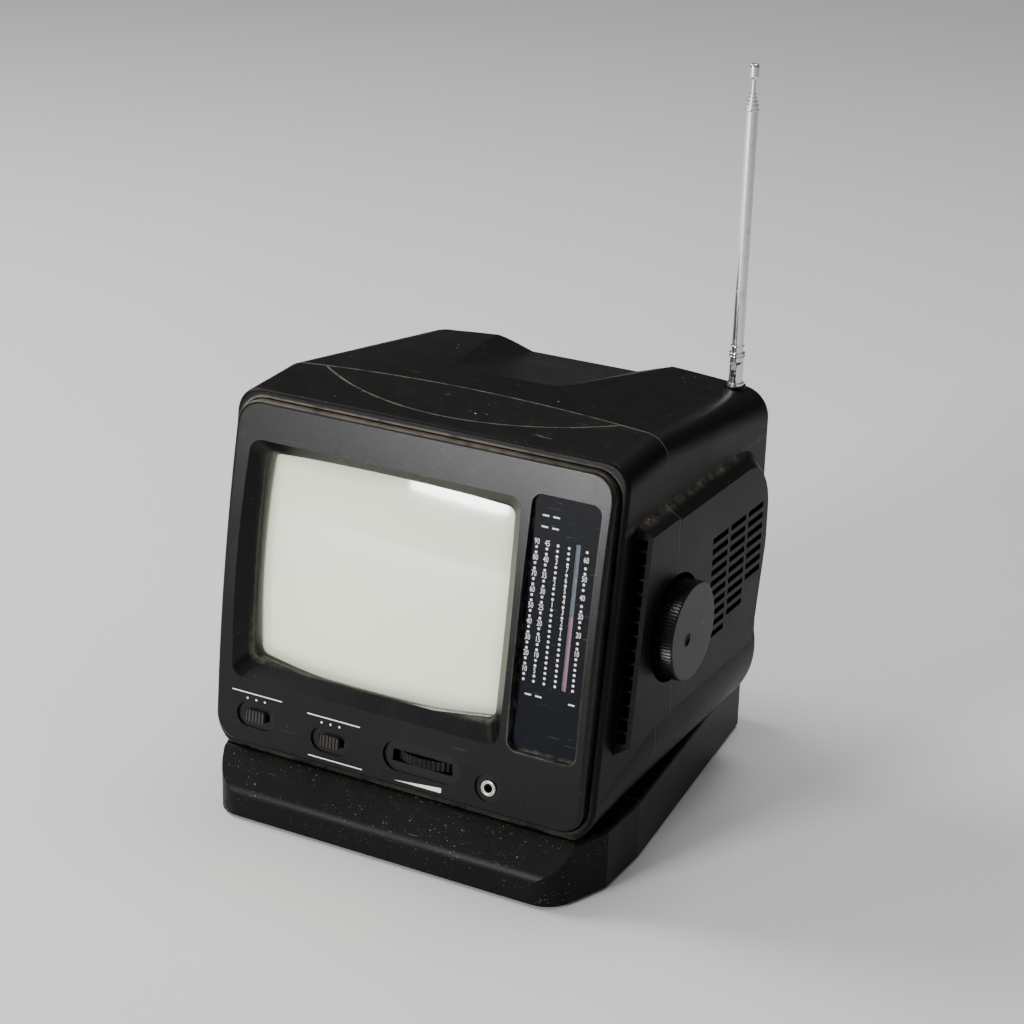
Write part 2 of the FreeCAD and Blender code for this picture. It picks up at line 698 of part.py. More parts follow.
def post_holes():
    """Pilot holes for the tube's screws."""
    return [rod(SCREW_R, (u, v, TUBE_RIM_BACK + 5), (u, v, TUBE_RIM_BACK + 12.6))
            for u, v in TUBE_EARS]


def dial_window():
    """Clear dial plate with the pointer slot."""
    plate = rounded_prism(DIAL_U[0] + 0.1, DIAL_V[0] + 0.1, DIAL_U[1] - 0.1, DIAL_V[1] - 0.1, 3.9,
                          DIAL_FRONT - DIAL_THICK, DIAL_FRONT)
    slot = box(SLOT_U - SLOT_W / 2, SLOT_V[0], -10, SLOT_U + SLOT_W / 2, SLOT_V[1], 10)
    return on_panel(plate.cut(slot))


# ---------------------------------------------------------------- tuning drive
AXIS = to_panel(Vector(0, PARTING_Y, KNOB_Z))
PITCH_R = PINION_TEETH * PINION_MODULE / 2
PITCH = math.pi * PINION_MODULE
PITCH_W = AXIS.z + PITCH_R


def tuning_knob():
    """Large finely ribbed dial knob with a finger dimple."""
    back = CAB_HALF + BUMP_OUT - DISH_DEPTH + GAP + 0.2
    points = []
    for i in range(2 * KNOB_RIBS):
        a = math.pi * i / KNOB_RIBS
        r = KNOB_R - (0.35 if i % 2 else 0)
        points.append((back, PARTING_Y + r * math.cos(a), KNOB_Z + r * math.sin(a)))
    body = polygon(points).extrude(Vector(KNOB_FACE_X - back, 0, 0))
    turned = rounded(rod(KNOB_R, (back, PARTING_Y, KNOB_Z), (KNOB_FACE_X, PARTING_Y, KNOB_Z)),
                     KNOB_ROUND, lambda e: all(v.X > KNOB_FACE_X - 0.01 for v in e.Vertexes))
    body = body.common(turned)
    dimple = Part.makeSphere(4.0, Vector(KNOB_FACE_X + 3.0, PARTING_Y - 5.2, KNOB_Z - 1.3))
    seat = rod(SHAFT_R + FIT / 2, (0, PARTING_Y, KNOB_Z), (KNOB_FACE_X - 4, PARTING_Y, KNOB_Z))
    return body.cut(dimple).cut(seat)


def gear_tooth(angle):
    """One trapezoid tooth of the pinion, in the plane across its axis."""
    root = PITCH_R - 1.25 * PINION_MODULE
    shape = ((root - 0.3, 0.95), (PITCH_R, 0.62), (PITCH_R + 0.9 * PINION_MODULE, 0.26))
    left = [(r, -h) for r, h in shape]
    right = [(r, h) for r, h in reversed(shape)]
    points = []
    for r, h in left + right:
        along = r * math.cos(angle) - h * math.sin(angle)
        across = r * math.sin(angle) + h * math.cos(angle)
        points.append((SLOT_U - 1.8, AXIS.y + across, AXIS.z + along))
    return polygon(points).extrude(Vector(3.6, 0, 0))


def tuning_shaft():
    """Shaft with the pinion that drives the pointer's rack."""
    root = PITCH_R - 1.25 * PINION_MODULE
    hub = rod(root, (SLOT_U - 1.8, AXIS.y, AXIS.z), (SLOT_U + 1.8, AXIS.y, AXIS.z))
    teeth = [gear_tooth(2 * math.pi * i / PINION_TEETH) for i in range(PINION_TEETH)]
    shaft = rod(SHAFT_R, (SHAFT_END_X, AXIS.y, AXIS.z), (KNOB_FACE_X - 4, AXIS.y, AXIS.z))
    return on_panel(fuse([hub, shaft] + teeth))


def dial_pointer():
    """Red strip behind the dial, its arm and the rack."""
    u0 = SLOT_U - POINTER_W / 2
    u1 = SLOT_U + POINTER_W / 2
    front = DIAL_FRONT - DIAL_THICK - GAP
    strip = box(u0, POINTER_TOP - POINTER_LEN, front - 1, u1, POINTER_TOP, front)
    root = PITCH_W + 1.25 * PINION_MODULE
    arm = box(SLOT_U - 1.3, AXIS.y - 3, root, SLOT_U + 1.3, AXIS.y + 3, front - 0.5)
    low = AXIS.y - TRAVEL - 4
    high = AXIS.y + TRAVEL + 4
    bar = box(u0, low, root, u1, high, root + 3)
    teeth = []
    count = int((high - low) / PITCH / 2)
    for i in range(-count, count + 1):
        v = AXIS.y + (i + 0.5) * PITCH
        if v + 1 > high or v - 1 < low:
            continue
        tip = PITCH_W - 0.9 * PINION_MODULE
        face = polygon([(u0, v - 1.05, root + 0.2), (u0, v + 1.05, root + 0.2),
                        (u0, v + 0.30, tip), (u0, v - 0.30, tip)])
        teeth.append(face.extrude(Vector(POINTER_W, 0, 0)))
    return on_panel(fuse([strip, arm, bar] + teeth))


def pointer_guide():
    """Two grooved rails for the rack, bridged at both ends, standing on the main board."""
    root = PITCH_W + 1.25 * PINION_MODULE
    front = root + 3 + GAP
    low = AXIS.y - 2 * TRAVEL - 8
    high = AXIS.y + 2 * TRAVEL + 8
    pieces = []
    for sign in (-1, 1):
        inner = SLOT_U + sign * (POINTER_W / 2 + GAP)
        outer = SLOT_U + sign * (POINTER_W / 2 + GAP + 2.2)
        lip = SLOT_U + sign * (1.3 + GAP)
        a, b = sorted((inner, outer))
        pieces.append(box(a, low, root - 2, b, high, front + 2))
        a, b = sorted((lip, outer))
        pieces.append(box(a, low, front, b, high, front + 2))
    x0 = SLOT_U - POINTER_W / 2 - GAP - 2.2
    x1 = SLOT_U + POINTER_W / 2 + GAP + 2.2
    pieces.append(box(x0, low, root - 2, x1, low + 2, front + 2))
    pieces.append(box(x0, high - 2, root - 2, x1, high, front + 2))
    rails = on_panel(fuse(pieces))
    foot_y = panel_point(0, low, root).y
    top = panel_point(0, low + 1, root).z
    foot = box(x0, foot_y - 3, MAIN_Z + MAIN_T, x1, foot_y + 3, top)
    return fuse([rails, foot])


def tuning_bracket():
    """Upright plate that carries the tuning control and its bearing."""
    plate = box(58.5, 44, MAIN_Z + MAIN_T, 60, 66, KNOB_Z + 11)
    foot = box(48, 44, MAIN_Z + MAIN_T, 60, 66, MAIN_Z + MAIN_T + 1.5)
    hole = rod(SHAFT_R + FIT, (40, PARTING_Y, KNOB_Z), (70, PARTING_Y, KNOB_Z))
    return fuse([plate, foot]).cut(hole)


def tuning_control():
    """Rotary tuning control behind the bracket."""
    body = rod(9, (44, PARTING_Y, KNOB_Z), (58.5, PARTING_Y, KNOB_Z))
    hole = rod(SHAFT_R + FIT, (SHAFT_END_X - 0.5, PARTING_Y, KNOB_Z), (70, PARTING_Y, KNOB_Z))
    return body.cut(hole)


# ---------------------------------------------------------------- picture tube
def picture_tube():
    """Glass bulb: domed face, rim, funnel and neck."""
    u0, u1 = SCREEN_U - TUBE_W / 2, SCREEN_U + TUBE_W / 2
    v0, v1 = SCREEN_V - TUBE_H / 2, SCREEN_V + TUBE_H / 2
    prism = rounded_prism(u0, v0, u1, v1, 12, TUBE_FUNNEL_BACK, 0)
    ball = Part.makeSphere(TUBE_FACE_R, Vector(SCREEN_U, SCREEN_V, TUBE_APEX - TUBE_FACE_R),
                           Vector(1, 0, 0))
    rim = box(-FAR, -FAR, TUBE_RIM_BACK, FAR, FAR, FAR)
    wide = 74.0
    depth = TUBE_RIM_BACK - TUBE_FUNNEL_BACK
    cone = Part.makeCone(TUBE_NECK_R, wide, depth, Vector(SCREEN_U, SCREEN_V, TUBE_FUNNEL_BACK))
    bulb = prism.common(ball).common(rim.fuse(cone))
    neck = rod(TUBE_NECK_R, (SCREEN_U, SCREEN_V, TUBE_END), (SCREEN_U, SCREEN_V, TUBE_FUNNEL_BACK + 2))
    return on_panel(fuse([bulb, neck]))


def tube_band():
    """Steel band round the bulb with four ears."""
    wide, tall = TUBE_W / 2, TUBE_H / 2
    z0, z1 = TUBE_RIM_BACK - 2, TUBE_RIM_BACK + 6
    outer = rounded_prism(SCREEN_U - wide - 1.2, SCREEN_V - tall - 1.2,
                          SCREEN_U + wide + 1.2, SCREEN_V + tall + 1.2, 13.2, z0, z1)
    inner = rounded_prism(SCREEN_U - wide - 0.1, SCREEN_V - tall - 0.1,
                          SCREEN_U + wide + 0.1, SCREEN_V + tall + 0.1, 12.1, z0 - 1, z1 + 1)
    pieces = [outer]
    for u, v in TUBE_EARS:
        pieces.append(rod(4.5, (u, v, z1 - 1.5), (u, v, z1)))
        to = Vector(SCREEN_U, SCREEN_V, 0) - Vector(u, v, 0)
        end = Vector(u, v, 0) + to * 0.14
        arm = rod(3.0, (u, v, z1 - 0.75), (end.x, end.y, z1 - 0.75))
        pieces.append(arm.common(box(-FAR, -FAR, z1 - 1.5, FAR, FAR, z1)))
    body = fuse(pieces).cut(inner)
    for u, v in TUBE_EARS:
        body = body.cut(rod(SCREW_R + 0.1, (u, v, z1 - 5), (u, v, z1 + 5)))
    return on_panel(largest(body))


def tube_screws():
    """Four screws through the ears into the panel's posts."""
    screws = []
    seat = TUBE_RIM_BACK + 6 - 1.5
    for u, v in TUBE_EARS:
        head = rod(HEAD_R, (u, v, seat - 1.6), (u, v, seat))
        shank = rod(SCREW_R, (u, v, seat), (u, v, seat + 8))
        screws.append(on_panel(head.fuse(shank).removeSplitter()))
    return Part.makeCompound(screws)


def deflection_yoke():
    """Coil body round the neck."""
    start = TUBE_FUNNEL_BACK - 2
    body = rod(20, (SCREEN_U, SCREEN_V, start - 24), (SCREEN_U, SCREEN_V, start))
    flange = rod(25, (SCREEN_U, SCREEN_V, start - 3), (SCREEN_U, SCREEN_V, start))
    collar = rod(13, (SCREEN_U, SCREEN_V, start - 30), (SCREEN_U, SCREEN_V, start))
    bore = rod(TUBE_NECK_R, (SCREEN_U, SCREEN_V, start - 40), (SCREEN_U, SCREEN_V, start + 5))
    return on_panel(fuse([body, flange, collar]).cut(bore))


def tube_socket():
    """Socket and small board on the end of the neck."""
    cap = rod(11, (SCREEN_U, SCREEN_V, TUBE_END - 5), (SCREEN_U, SCREEN_V, TUBE_END))
    board = box(SCREEN_U - 17, SCREEN_V - 17, TUBE_END - 6.6, SCREEN_U + 17, SCREEN_V + 17,
                TUBE_END - 5)
    return on_panel(fuse([cap, board]))


# ---------------------------------------------------------------- controls
def slider_knob(place):
    """Ribbed slide button with its stem."""
    u, v = place
    top = face_w(v)
    w, h = SLIDER_KNOB
    floor = top - 1.2 + GAP
    button = rounded_prism(u - w / 2, v - h / 2, u + w / 2, v + h / 2, 0.8, floor, top + 0.9)
    for i in range(5):
        x = u + (i - 2) * 1.5
        button = button.cut(box(x - 0.35, v - h, top + 0.4, x + 0.35, v + h, top + 2))
    stem = box(u - 1.4, v - 1.2, -PANEL_DEPTH - 1.7, u + 1.4, v + 1.2, floor + 0.1)
    return on_panel(fuse([button, stem]))


def slider_switch(place):
    """Slide switch behind its button, on the control board."""
    u, v = place
    return on_panel(box(u - 9, v - 4, BOARD_W, u + 9, v + 4, -PANEL_DEPTH - 2))


def volume_wheel():
    """Ribbed thumb wheel that lies behind its slot."""
    u, v = VOLUME_UV
    centre_w = VOLUME_TOP - VOLUME_R
    points = []
    for i in range(120):
        a = math.pi * i / 60
        r = VOLUME_R - (0.4 if i % 2 else 0)
        points.append((u + r * math.cos(a), v - VOLUME_T / 2, centre_w + r * math.sin(a)))
    disc = polygon(points).extrude(Vector(0, VOLUME_T, 0))
    spindle = rod(2.0, (u, v - VOLUME_T / 2 - 5, centre_w), (u, v, centre_w))
    return on_panel(fuse([disc, spindle]))


def volume_control():
    """Rotary control under the wheel, fixed to the control board."""
    u, v = VOLUME_UV
    centre_w = VOLUME_TOP - VOLUME_R
    top = v - VOLUME_T / 2 - GAP
    body = box(u - 8, top - 4.2, BOARD_W, u + 8, top, centre_w + 7)
    return on_panel(body.cut(rod(2.0 + FIT, (u, top - 20, centre_w), (u, top + 1, centre_w))))


def control_board():
    """Upright board behind the lower controls, cut out round the wheel."""
    board = box(-73.5, 3.5, BOARD_W - 1.6, 58, 22, BOARD_W)
    u, v = VOLUME_UV
    notch = box(u - VOLUME_R - 1, v - VOLUME_T / 2 - 1, BOARD_W - 5, u + VOLUME_R + 1, 30, BOARD_W + 5)
    return on_panel(board.cut(notch))


def earphone_jack():
    """Earphone socket with its metal ring."""
    u, v = JACK_UV
    top = face_w(v)
    barrel = rod(3.0, (u, v, -PANEL_DEPTH - 1), (u, v, top - 0.1))
    body = box(u - 5, v - 5, BOARD_W, u + 5, v + 5, -PANEL_DEPTH)
    bore = rod(JACK_HOLE_R, (u, v, top - 15), (u, v, top + 1))
    return on_panel(fuse([barrel, body]).cut(bore))


def trimmer_knobs():
    """Rear adjusting knobs with their spindles, one shape per control."""
    knobs = []
    for x in TRIM_X:
        disc = rod(TRIM_R, (x, REAR_Y + GAP, TRIM_Z), (x, REAR_Y + 5, TRIM_Z))
        disc = disc.cut(box(x - 0.5, REAR_Y + 4, TRIM_Z - TRIM_R, x + 0.5, REAR_Y + 6, TRIM_Z + TRIM_R))
        spindle = rod(2.0, (x, REAR_Y - 9, TRIM_Z), (x, REAR_Y + 1, TRIM_Z))
        knobs.append(fuse([disc, spindle]))
    return knobs


def trimmer_controls():
    """Control bodies behind the rear wall, standing on the main board."""
    bodies = []
    for x in TRIM_X:
        back = REAR_Y - WALL
        body = box(x - 5.5, back - 10.5, TRIM_Z - 5.5, x + 5.5, back, TRIM_Z + 5.5)
        leg = box(x - 4, back - 10.5, MAIN_Z + MAIN_T, x + 4, back - 8.5, TRIM_Z)
        hole = rod(2.0 + FIT, (x, REAR_Y - 9.5, TRIM_Z), (x, REAR_Y + 1, TRIM_Z))
        bodies.append(fuse([body, leg]).cut(hole))
    return Part.makeCompound(bodies)


def power_socket():
    """Low-voltage supply socket in the rear wall."""
    x, z = -60.0, TRIM_Z
    back = REAR_Y - WALL
    body = box(x - 6, back - 11, z - 6, x + 6, back, z + 6)
    leg = box(x - 4, back - 11, MAIN_Z + MAIN_T, x + 4, back - 8.5, z)
    nose = rod(4.8, (x, back - 1, z), (x, REAR_Y, z))
    bore = rod(2.8, (x, back - 7, z), (x, REAR_Y + 1, z))
    pin = rod(0.9, (x, back - 8, z), (x, REAR_Y - 1, z))
    return fuse([fuse([body, leg, nose]).cut(bore), pin])


def aerial_socket():
    """Outside-aerial socket in the rear wall."""
    x, z = -42.0, TRIM_Z
    back = REAR_Y - WALL
    body = box(x - 5, back - 14, z - 5, x + 5, back, z + 5)
    leg = box(x - 4, back - 11, MAIN_Z + MAIN_T, x + 4, back - 8.5, z)
    nose = rod(3.0, (x, back - 1, z), (x, REAR_Y, z))
    bore = rod(JACK_HOLE_R, (x, REAR_Y - 13, z), (x, REAR_Y + 1, z))
    return fuse([body, leg, nose]).cut(bore)


# ---------------------------------------------------------------- base
def base_plan(inset):
    """Outline of the base seen from above."""
    i = inset
    half = CAB_HALF - i
    nose = BASE_NOSE_HALF - i * 0.7
    rear = BASE_REAR_HALF - i
    points = [(-nose, BASE_NOSE_Y + i, 0), (nose, BASE_NOSE_Y + i, 0), (half, BASE_CHAMFER_Y, 0),
              (half, BASE_SEAM_Y, 0), (rear, BASE_REAR_Y - i - 8, 0), (rear - 8, BASE_REAR_Y - i, 0),
              (-rear + 8, BASE_REAR_Y - i, 0), (-rear, BASE_REAR_Y - i - 8, 0),
              (-half, BASE_SEAM_Y, 0), (-half, BASE_CHAMFER_Y, 0)]
    return polygon(points).extrude(Vector(0, 0, 60))


def on_nose_corner(edge):
    """True for an upright edge at either end of the nose."""
    ends = edge.Vertexes
    return all(v.Y < BASE_NOSE_Y + 0.01 for v in ends) and abs(ends[0].Z - ends[1].Z) > 1


def base_side(inset):
    """Side profile of the base, with its rounded sloping nose in front."""
    y0 = BASE_NOSE_Y + inset
    z0 = BASE_NOSE_Z - inset * 0.4
    top = BASE_TOP - inset
    points = [(-FAR, y0, BASE_BOTTOM), (-FAR, y0, z0),
              (-FAR, BASE_SLOPE_Y + inset * 0.6, top), (-FAR, FAR, top), (-FAR, FAR, BASE_BOTTOM)]
    prism = polygon(points).extrude(Vector(2 * FAR, 0, 0))
    return rounded(prism, BASE_NOSE_ROUND - inset,
                   lambda e: all(abs(v.Y - y0) < 0.01 and abs(v.Z - z0) < 0.01 for v in e.Vertexes))


def base_shell():
    """Hollow base, open below."""
    plan = rounded(base_plan(0), BASE_CORNER, on_nose_corner)
    outer = rounded(plan.common(base_side(0)), BASE_ROUND,
                    lambda e: min(v.Z for v in e.Vertexes) > BASE_TOP - 0.01)
    low = box(-FAR, -FAR, 0, FAR, FAR, BASE_TOP - WALL)
    inner = base_plan(WALL).common(base_side(WALL)).common(low)
    shell = outer.cut(inner)
    posts = []
    for x, y in BASE_SCREWS:
        posts.append(rod(4.0, (x, y, BASE_BOTTOM + 2 * WALL), (x, y, BASE_TOP - 1)))
    shell = fuse([shell] + posts)
    for x, y in BASE_SCREWS:
        shell = shell.cut(rod(SCREW_R + 0.2, (x, y, 0), (x, y, 60)))
    return shell


def base_half(front):
    """Front or rear moulding of the base."""
    limits = (-FAR, BASE_SEAM_Y) if front else (BASE_SEAM_Y, FAR)
    return largest(base_shell().common(box(-FAR, limits[0], 0, FAR, limits[1], 60)))


def base_cover():
    """Bottom plate let into the base."""
    plate = base_plan(WALL + 0.15).common(box(-FAR, -FAR, BASE_BOTTOM, FAR, FAR, BASE_BOTTOM + WALL))
    posts = []
    for x, y in BASE_SCREWS:
        posts.append(rod(5.0, (x, y, BASE_BOTTOM), (x, y, BASE_BOTTOM + 2 * WALL)))
    plate = fuse([plate] + posts)
    for x, y in BASE_SCREWS:
        plate = plate.cut(rod(SCREW_R + 0.2, (x, y, 0), (x, y, 60)))
        plate = plate.cut(rod(HEAD_R + 0.3, (x, y, 0), (x, y, BASE_BOTTOM + 2)))
    return largest(plate)


def base_screws():
    """Screws from below through the base into the cabinet."""
    screws = []
    for x, y in BASE_SCREWS:
        seat = BASE_BOTTOM + 2
        head = rod(HEAD_R, (x, y, seat - 1.6), (x, y, seat))
        shank = rod(SCREW_R, (x, y, seat), (x, y, BASE_TOP + 5.5))
        screws.append(fuse([head, shank]))
    return Part.makeCompound(screws)


def rubber_feet():
    """Four round feet."""
    return Part.makeCompound([rod(FOOT_R, (sx * FOOT_X, y, 0), (sx * FOOT_X, y, BASE_BOTTOM))
                              for sx in (-1, 1) for y in FOOT_Y])


def cabinet_screws():
    """Long screws that hold the two cabinet halves together."""
    screws = []
    for x, z in CAB_SCREWS:
        seat = PARTING_Y + 5
        head = rod(HEAD_R, (x, seat, z), (x, seat + 1.8, z))
        shank = rod(SCREW_R, (x, PARTING_Y - 11, z), (x, seat, z))
        screws.append(fuse([head, shank]))
    return Part.makeCompound(screws)


# ---------------------------------------------------------------- boards and loudspeaker
def main_board():
    """Main circuit board on its bosses."""
    board = box(-MAIN_HALF, MAIN_Y[0], MAIN_Z, MAIN_HALF, MAIN_Y[1], MAIN_Z + MAIN_T)
    for x, z in CAB_SCREWS[2:]:
        board = board.cut(rod(5.2, (x, 0, z), (x, 200, z)))
    for x, y in BOARD_BOSSES:
        board = board.cut(rod(SCREW_R * 0.7, (x, y, 0), (x, y, 60)))
    return board


def board_screws():
    """Small screws that hold the main board."""
    screws = []
    top = MAIN_Z + MAIN_T
    for x, y in BOARD_BOSSES:
        head = rod(2.2, (x, y, top), (x, y, top + 1.2))
        shank = rod(SCREW_R * 0.7, (x, y, BASE_TOP + WALL), (x, y, top))
        screws.append(fuse([head, shank]))
    return Part.makeCompound(screws)


def flyback():
    """High-voltage transformer."""
    z = MAIN_Z + MAIN_T
    core = box(-66, 96, z, -44, 118, z + 30)
    coil = rod(9, (-55, 107, z + 30), (-55, 107, z + 36))
    return fuse([core, coil])


def tuner():
    """Screened tuner box."""
    z = MAIN_Z + MAIN_T
    return box(10, 74, z, 52, 100, z + 16)


def capacitors():
    """Row of electrolytic capacitors."""
    z = MAIN_Z + MAIN_T
    cans = []
    for i in range(4):
        cans.append(rod(5, (-30 + i * 12, 116, z), (-30 + i * 12, 116, z + 16)))
    return Part.makeCompound(cans)


def heat_sink():
    """Finned heat sink of the supply regulator."""
    z = MAIN_Z + MAIN_T
    back = box(-66, 76, z, -64, 92, z + 26)
    fins = [box(-64.5, 76 + i * 3.5, z, -54, 77.5 + i * 3.5, z + 26) for i in range(5)]
    return fuse([back] + fins)


def speaker():
    """Loudspeaker basket, cone and magnet as separate solids."""
    front = CAB_HALF + BUMP_OUT - WALL
    y, z = SPEAKER_Y, SPEAKER_Z
    along = Vector(1, 0, 0)
    ring = rod(SPEAKER_R, (front - 2, y, z), (front, y, z)).cut(
        rod(SPEAKER_R - 3, (front - 3, y, z), (front + 1, y, z)))
    outer = Part.makeCone(11, SPEAKER_R - 1, 13, Vector(front - 15, y, z), along)
    inner = Part.makeCone(10, SPEAKER_R - 2, 13.2, Vector(front - 15.1, y, z), along)
    basket = fuse([ring, outer.cut(inner)])
    cone_out = Part.makeCone(6, SPEAKER_R - 3.4, 9, Vector(front - 10.5, y, z), along)
    cone_in = Part.makeCone(4.8, SPEAKER_R - 4.4, 9.2, Vector(front - 10.4, y, z), along)
    cone = cone_out.cut(cone_in)
    magnet = rod(15, (front - 24, y, z), (front - 15, y, z))
    return basket, cone, magnet


# ---------------------------------------------------------------- aerial
def aerial_bracket():
    """Inner block that carries the aerial's swivel."""
    x, y = AERIAL_X, AERIAL_Y
    low = AERIAL_SEAT_Z - 14
    block = box(x - 6, y - 6, low, x + 6, y + 6, AERIAL_SEAT_Z - 1)
    seat = rod(AERIAL_SEAT_R, (x, y, AERIAL_SEAT_Z - 6), (x, y, AERIAL_SEAT_Z))
    block = block.common(rear_block(WALL)).cut(seat)
    return largest(block.cut(rod(2.5 + FIT, (x, y, low - 1), (x, y, AERIAL_SEAT_Z))))


def aerial_post():
    """Swivelling foot with a slotted head."""
    x, y = AERIAL_X, AERIAL_Y
    top = AERIAL_PIVOT_Z + 3
    flange = rod(3.4, (x, y, AERIAL_SEAT_Z), (x, y, AERIAL_SEAT_Z + 1.1))
    spigot = rod(2.5, (x, y, AERIAL_SEAT_Z - 13), (x, y, AERIAL_SEAT_Z))
    head = rod(AERIAL_POST_R, (x, y, AERIAL_SEAT_Z), (x, y, top))
    ball = rod(3.05, (x - 5, y, AERIAL_PIVOT_Z), (x + 5, y, AERIAL_PIVOT_Z))
    column = box(x - 5, y - 5, AERIAL_SEAT_Z, x + 5, y + 5, AERIAL_PIVOT_Z)
    head = head.common(fuse([ball, column]))
    slot = box(x - 1.2, y - 5, AERIAL_PIVOT_Z - 2.7, x + 1.2, y + 5, top + 1)
    pin = rod(0.9, (x - 3, y, AERIAL_PIVOT_Z), (x + 3, y, AERIAL_PIVOT_Z))
    return fuse([flange, spigot, head.cut(slot), pin.common(head)])


def aerial_knuckle():
    """Tongue and ferrule at the foot of the outer tube."""
    x, y = AERIAL_X, AERIAL_Y
    disc = rod(2.4, (x - 0.9, y, AERIAL_PIVOT_Z), (x + 0.9, y, AERIAL_PIVOT_Z))
    neck = box(x - 0.9, y - 2.4, AERIAL_PIVOT_Z, x + 0.9, y + 2.4, AERIAL_TUBE_Z + 0.1)
    ferrule = rod(2.9, (x, y, AERIAL_TUBE_Z), (x, y, AERIAL_TUBE_Z + 3.5))
    hole = rod(0.9 + FIT, (x - 3, y, AERIAL_PIVOT_Z), (x + 3, y, AERIAL_PIVOT_Z))
    socket = rod(AERIAL_R[0], (x, y, AERIAL_TUBE_Z + 1.5), (x, y, AERIAL_TUBE_Z + 5))
    return fuse([disc, neck, ferrule]).cut(hole).cut(socket)


def aerial_section(index):
    """One telescopic section; the last is a rod with a tip."""
    x, y = AERIAL_X, AERIAL_Y
    r = AERIAL_R[index]
    low = AERIAL_TUBE_Z + 1.5 + index * 1.5
    top = AERIAL_TUBE_TOP + index * 1.4
    if index == len(AERIAL_R) - 1:
        stem = rod(r, (x, y, low), (x, y, AERIAL_TIP_Z[0] + 1))
        tip = rod(1.8, (x, y, AERIAL_TIP_Z[0]), (x, y, AERIAL_TIP_Z[1]))
        edges = [e for e in tip.Edges if e.Curve.TypeId == "Part::GeomCircle"]
        return fuse([stem, tip.makeFillet(1.2, edges)])
    tube = rod(r, (x, y, low), (x, y, top))
    bore = rod(AERIAL_R[index + 1] + FIT, (x, y, low + 1), (x, y, top + 1))
    return tube.cut(bore)


# ---------------------------------------------------------------- output
def build():
    """Make every sub-part and write it."""
    os.makedirs("parts", exist_ok=True)
    export("front_cabinet", front_cabinet())
    export("rear_cabinet", rear_cabinet())
    export("front_panel", front_panel())
    export("dial_window", dial_window())
    export("tuning_knob", tuning_knob())
    export("tuning_shaft", tuning_shaft())
    export("tuning_bracket", tuning_bracket())
    export("tuning_control", tuning_control())
    export("dial_pointer", dial_pointer())
    export("pointer_guide", pointer_guide())
    export("picture_tube", picture_tube())
    export("tube_band", tube_band())
    export("tube_screws", tube_screws())
    export("deflection_yoke", deflection_yoke())
    export("tube_socket", tube_socket())
    export("power_button", slider_knob(POWER_UV))
    export("power_switch", slider_switch(POWER_UV))
    export("band_button", slider_knob(BAND_UV))
    export("band_switch", slider_switch(BAND_UV))
    export("volume_wheel", volume_wheel())
    export("volume_control", volume_control())
    export("control_board", control_board())
    export("earphone_jack", earphone_jack())
    for name, knob in zip(("brightness_knob", "contrast_knob", "hold_knob"), trimmer_knobs()):
        export(name, knob)
    export("trimmer_controls", trimmer_controls())
    export("power_socket", power_socket())
    export("aerial_socket", aerial_socket())
    export("base_front", base_half(True))
    export("base_rear", base_half(False))
    export("base_cover", base_cover())
    export("base_screws", base_screws())
    export("rubber_feet", rubber_feet())
    export("cabinet_screws", cabinet_screws())
    export("main_board", main_board())
    export("board_screws", board_screws())
    export("flyback", flyback())
    export("tuner", tuner())
    export("capacitors", capacitors())
    export("heat_sink", heat_sink())
    basket, cone, magnet = speaker()
    export("speaker_basket", basket)
    export("speaker_cone", cone)
    export("speaker_magnet", magnet)
    export("aerial_bracket", aerial_bracket())
    export("aerial_post", aerial_post())
    export("aerial_knuckle", aerial_knuckle())
    for index in range(len(AERIAL_R)):
        export("aerial_section_" + str(index + 1), aerial_section(index))


build()
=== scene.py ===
"""Looks of the portable television: finishes, printed scales, dust, trim, light and camera."""

import logging
import math
from dataclasses import dataclass, field
from enum import Enum
from typing import Any, Iterable, Sequence

import bmesh
import bpy
from mathutils import Matrix, Vector


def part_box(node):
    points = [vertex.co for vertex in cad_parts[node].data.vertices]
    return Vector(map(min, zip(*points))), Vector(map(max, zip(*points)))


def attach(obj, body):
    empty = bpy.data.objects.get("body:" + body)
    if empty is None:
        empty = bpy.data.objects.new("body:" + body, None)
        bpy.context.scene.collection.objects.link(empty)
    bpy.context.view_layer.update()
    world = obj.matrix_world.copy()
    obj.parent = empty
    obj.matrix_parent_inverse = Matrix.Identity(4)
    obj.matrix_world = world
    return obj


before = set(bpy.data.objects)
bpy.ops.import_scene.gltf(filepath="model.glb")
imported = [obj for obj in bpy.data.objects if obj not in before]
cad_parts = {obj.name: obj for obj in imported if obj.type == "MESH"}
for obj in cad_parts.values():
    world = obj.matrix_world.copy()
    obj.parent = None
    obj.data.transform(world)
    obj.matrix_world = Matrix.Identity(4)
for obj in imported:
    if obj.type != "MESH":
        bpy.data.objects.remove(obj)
MM = 0.001
LEAN = math.radians(8.3)
LOG = logging.getLogger("television")

# The front panel's outlines in its own coordinates: centre, half size.
PANEL_HEIGHT = 136.3
PANEL_BULGE = 3.0
PANEL_CENTRE = (0.0, PANEL_HEIGHT / 2 * MM)
PANEL_HALF = (80.5 * MM, PANEL_HEIGHT / 2 * MM)
SCREEN_CENTRE = (-14.5 * MM, 75.5 * MM)
SCREEN_HALF = (54 * MM, 41.5 * MM)
DIAL_CENTRE = (62.15 * MM, 75.85 * MM)
DIAL_HALF = (14.05 * MM, 48.65 * MM)

# Heights and distances from the frame that the finishes follow.
NOSE_DEPTH = 8.2 * MM
PANEL_FOOT = 29.0 * MM
BASE_TOP = 25.6 * MM
ROOF_LOW = 155 * MM
BLOCK_SIDE = 83.2 * MM
BLOCK_TOP = 142.0 * MM


class Face(Enum):
    """Shapes that the printed marks are made of."""

    DOT = "dot"
    BAR = "bar"


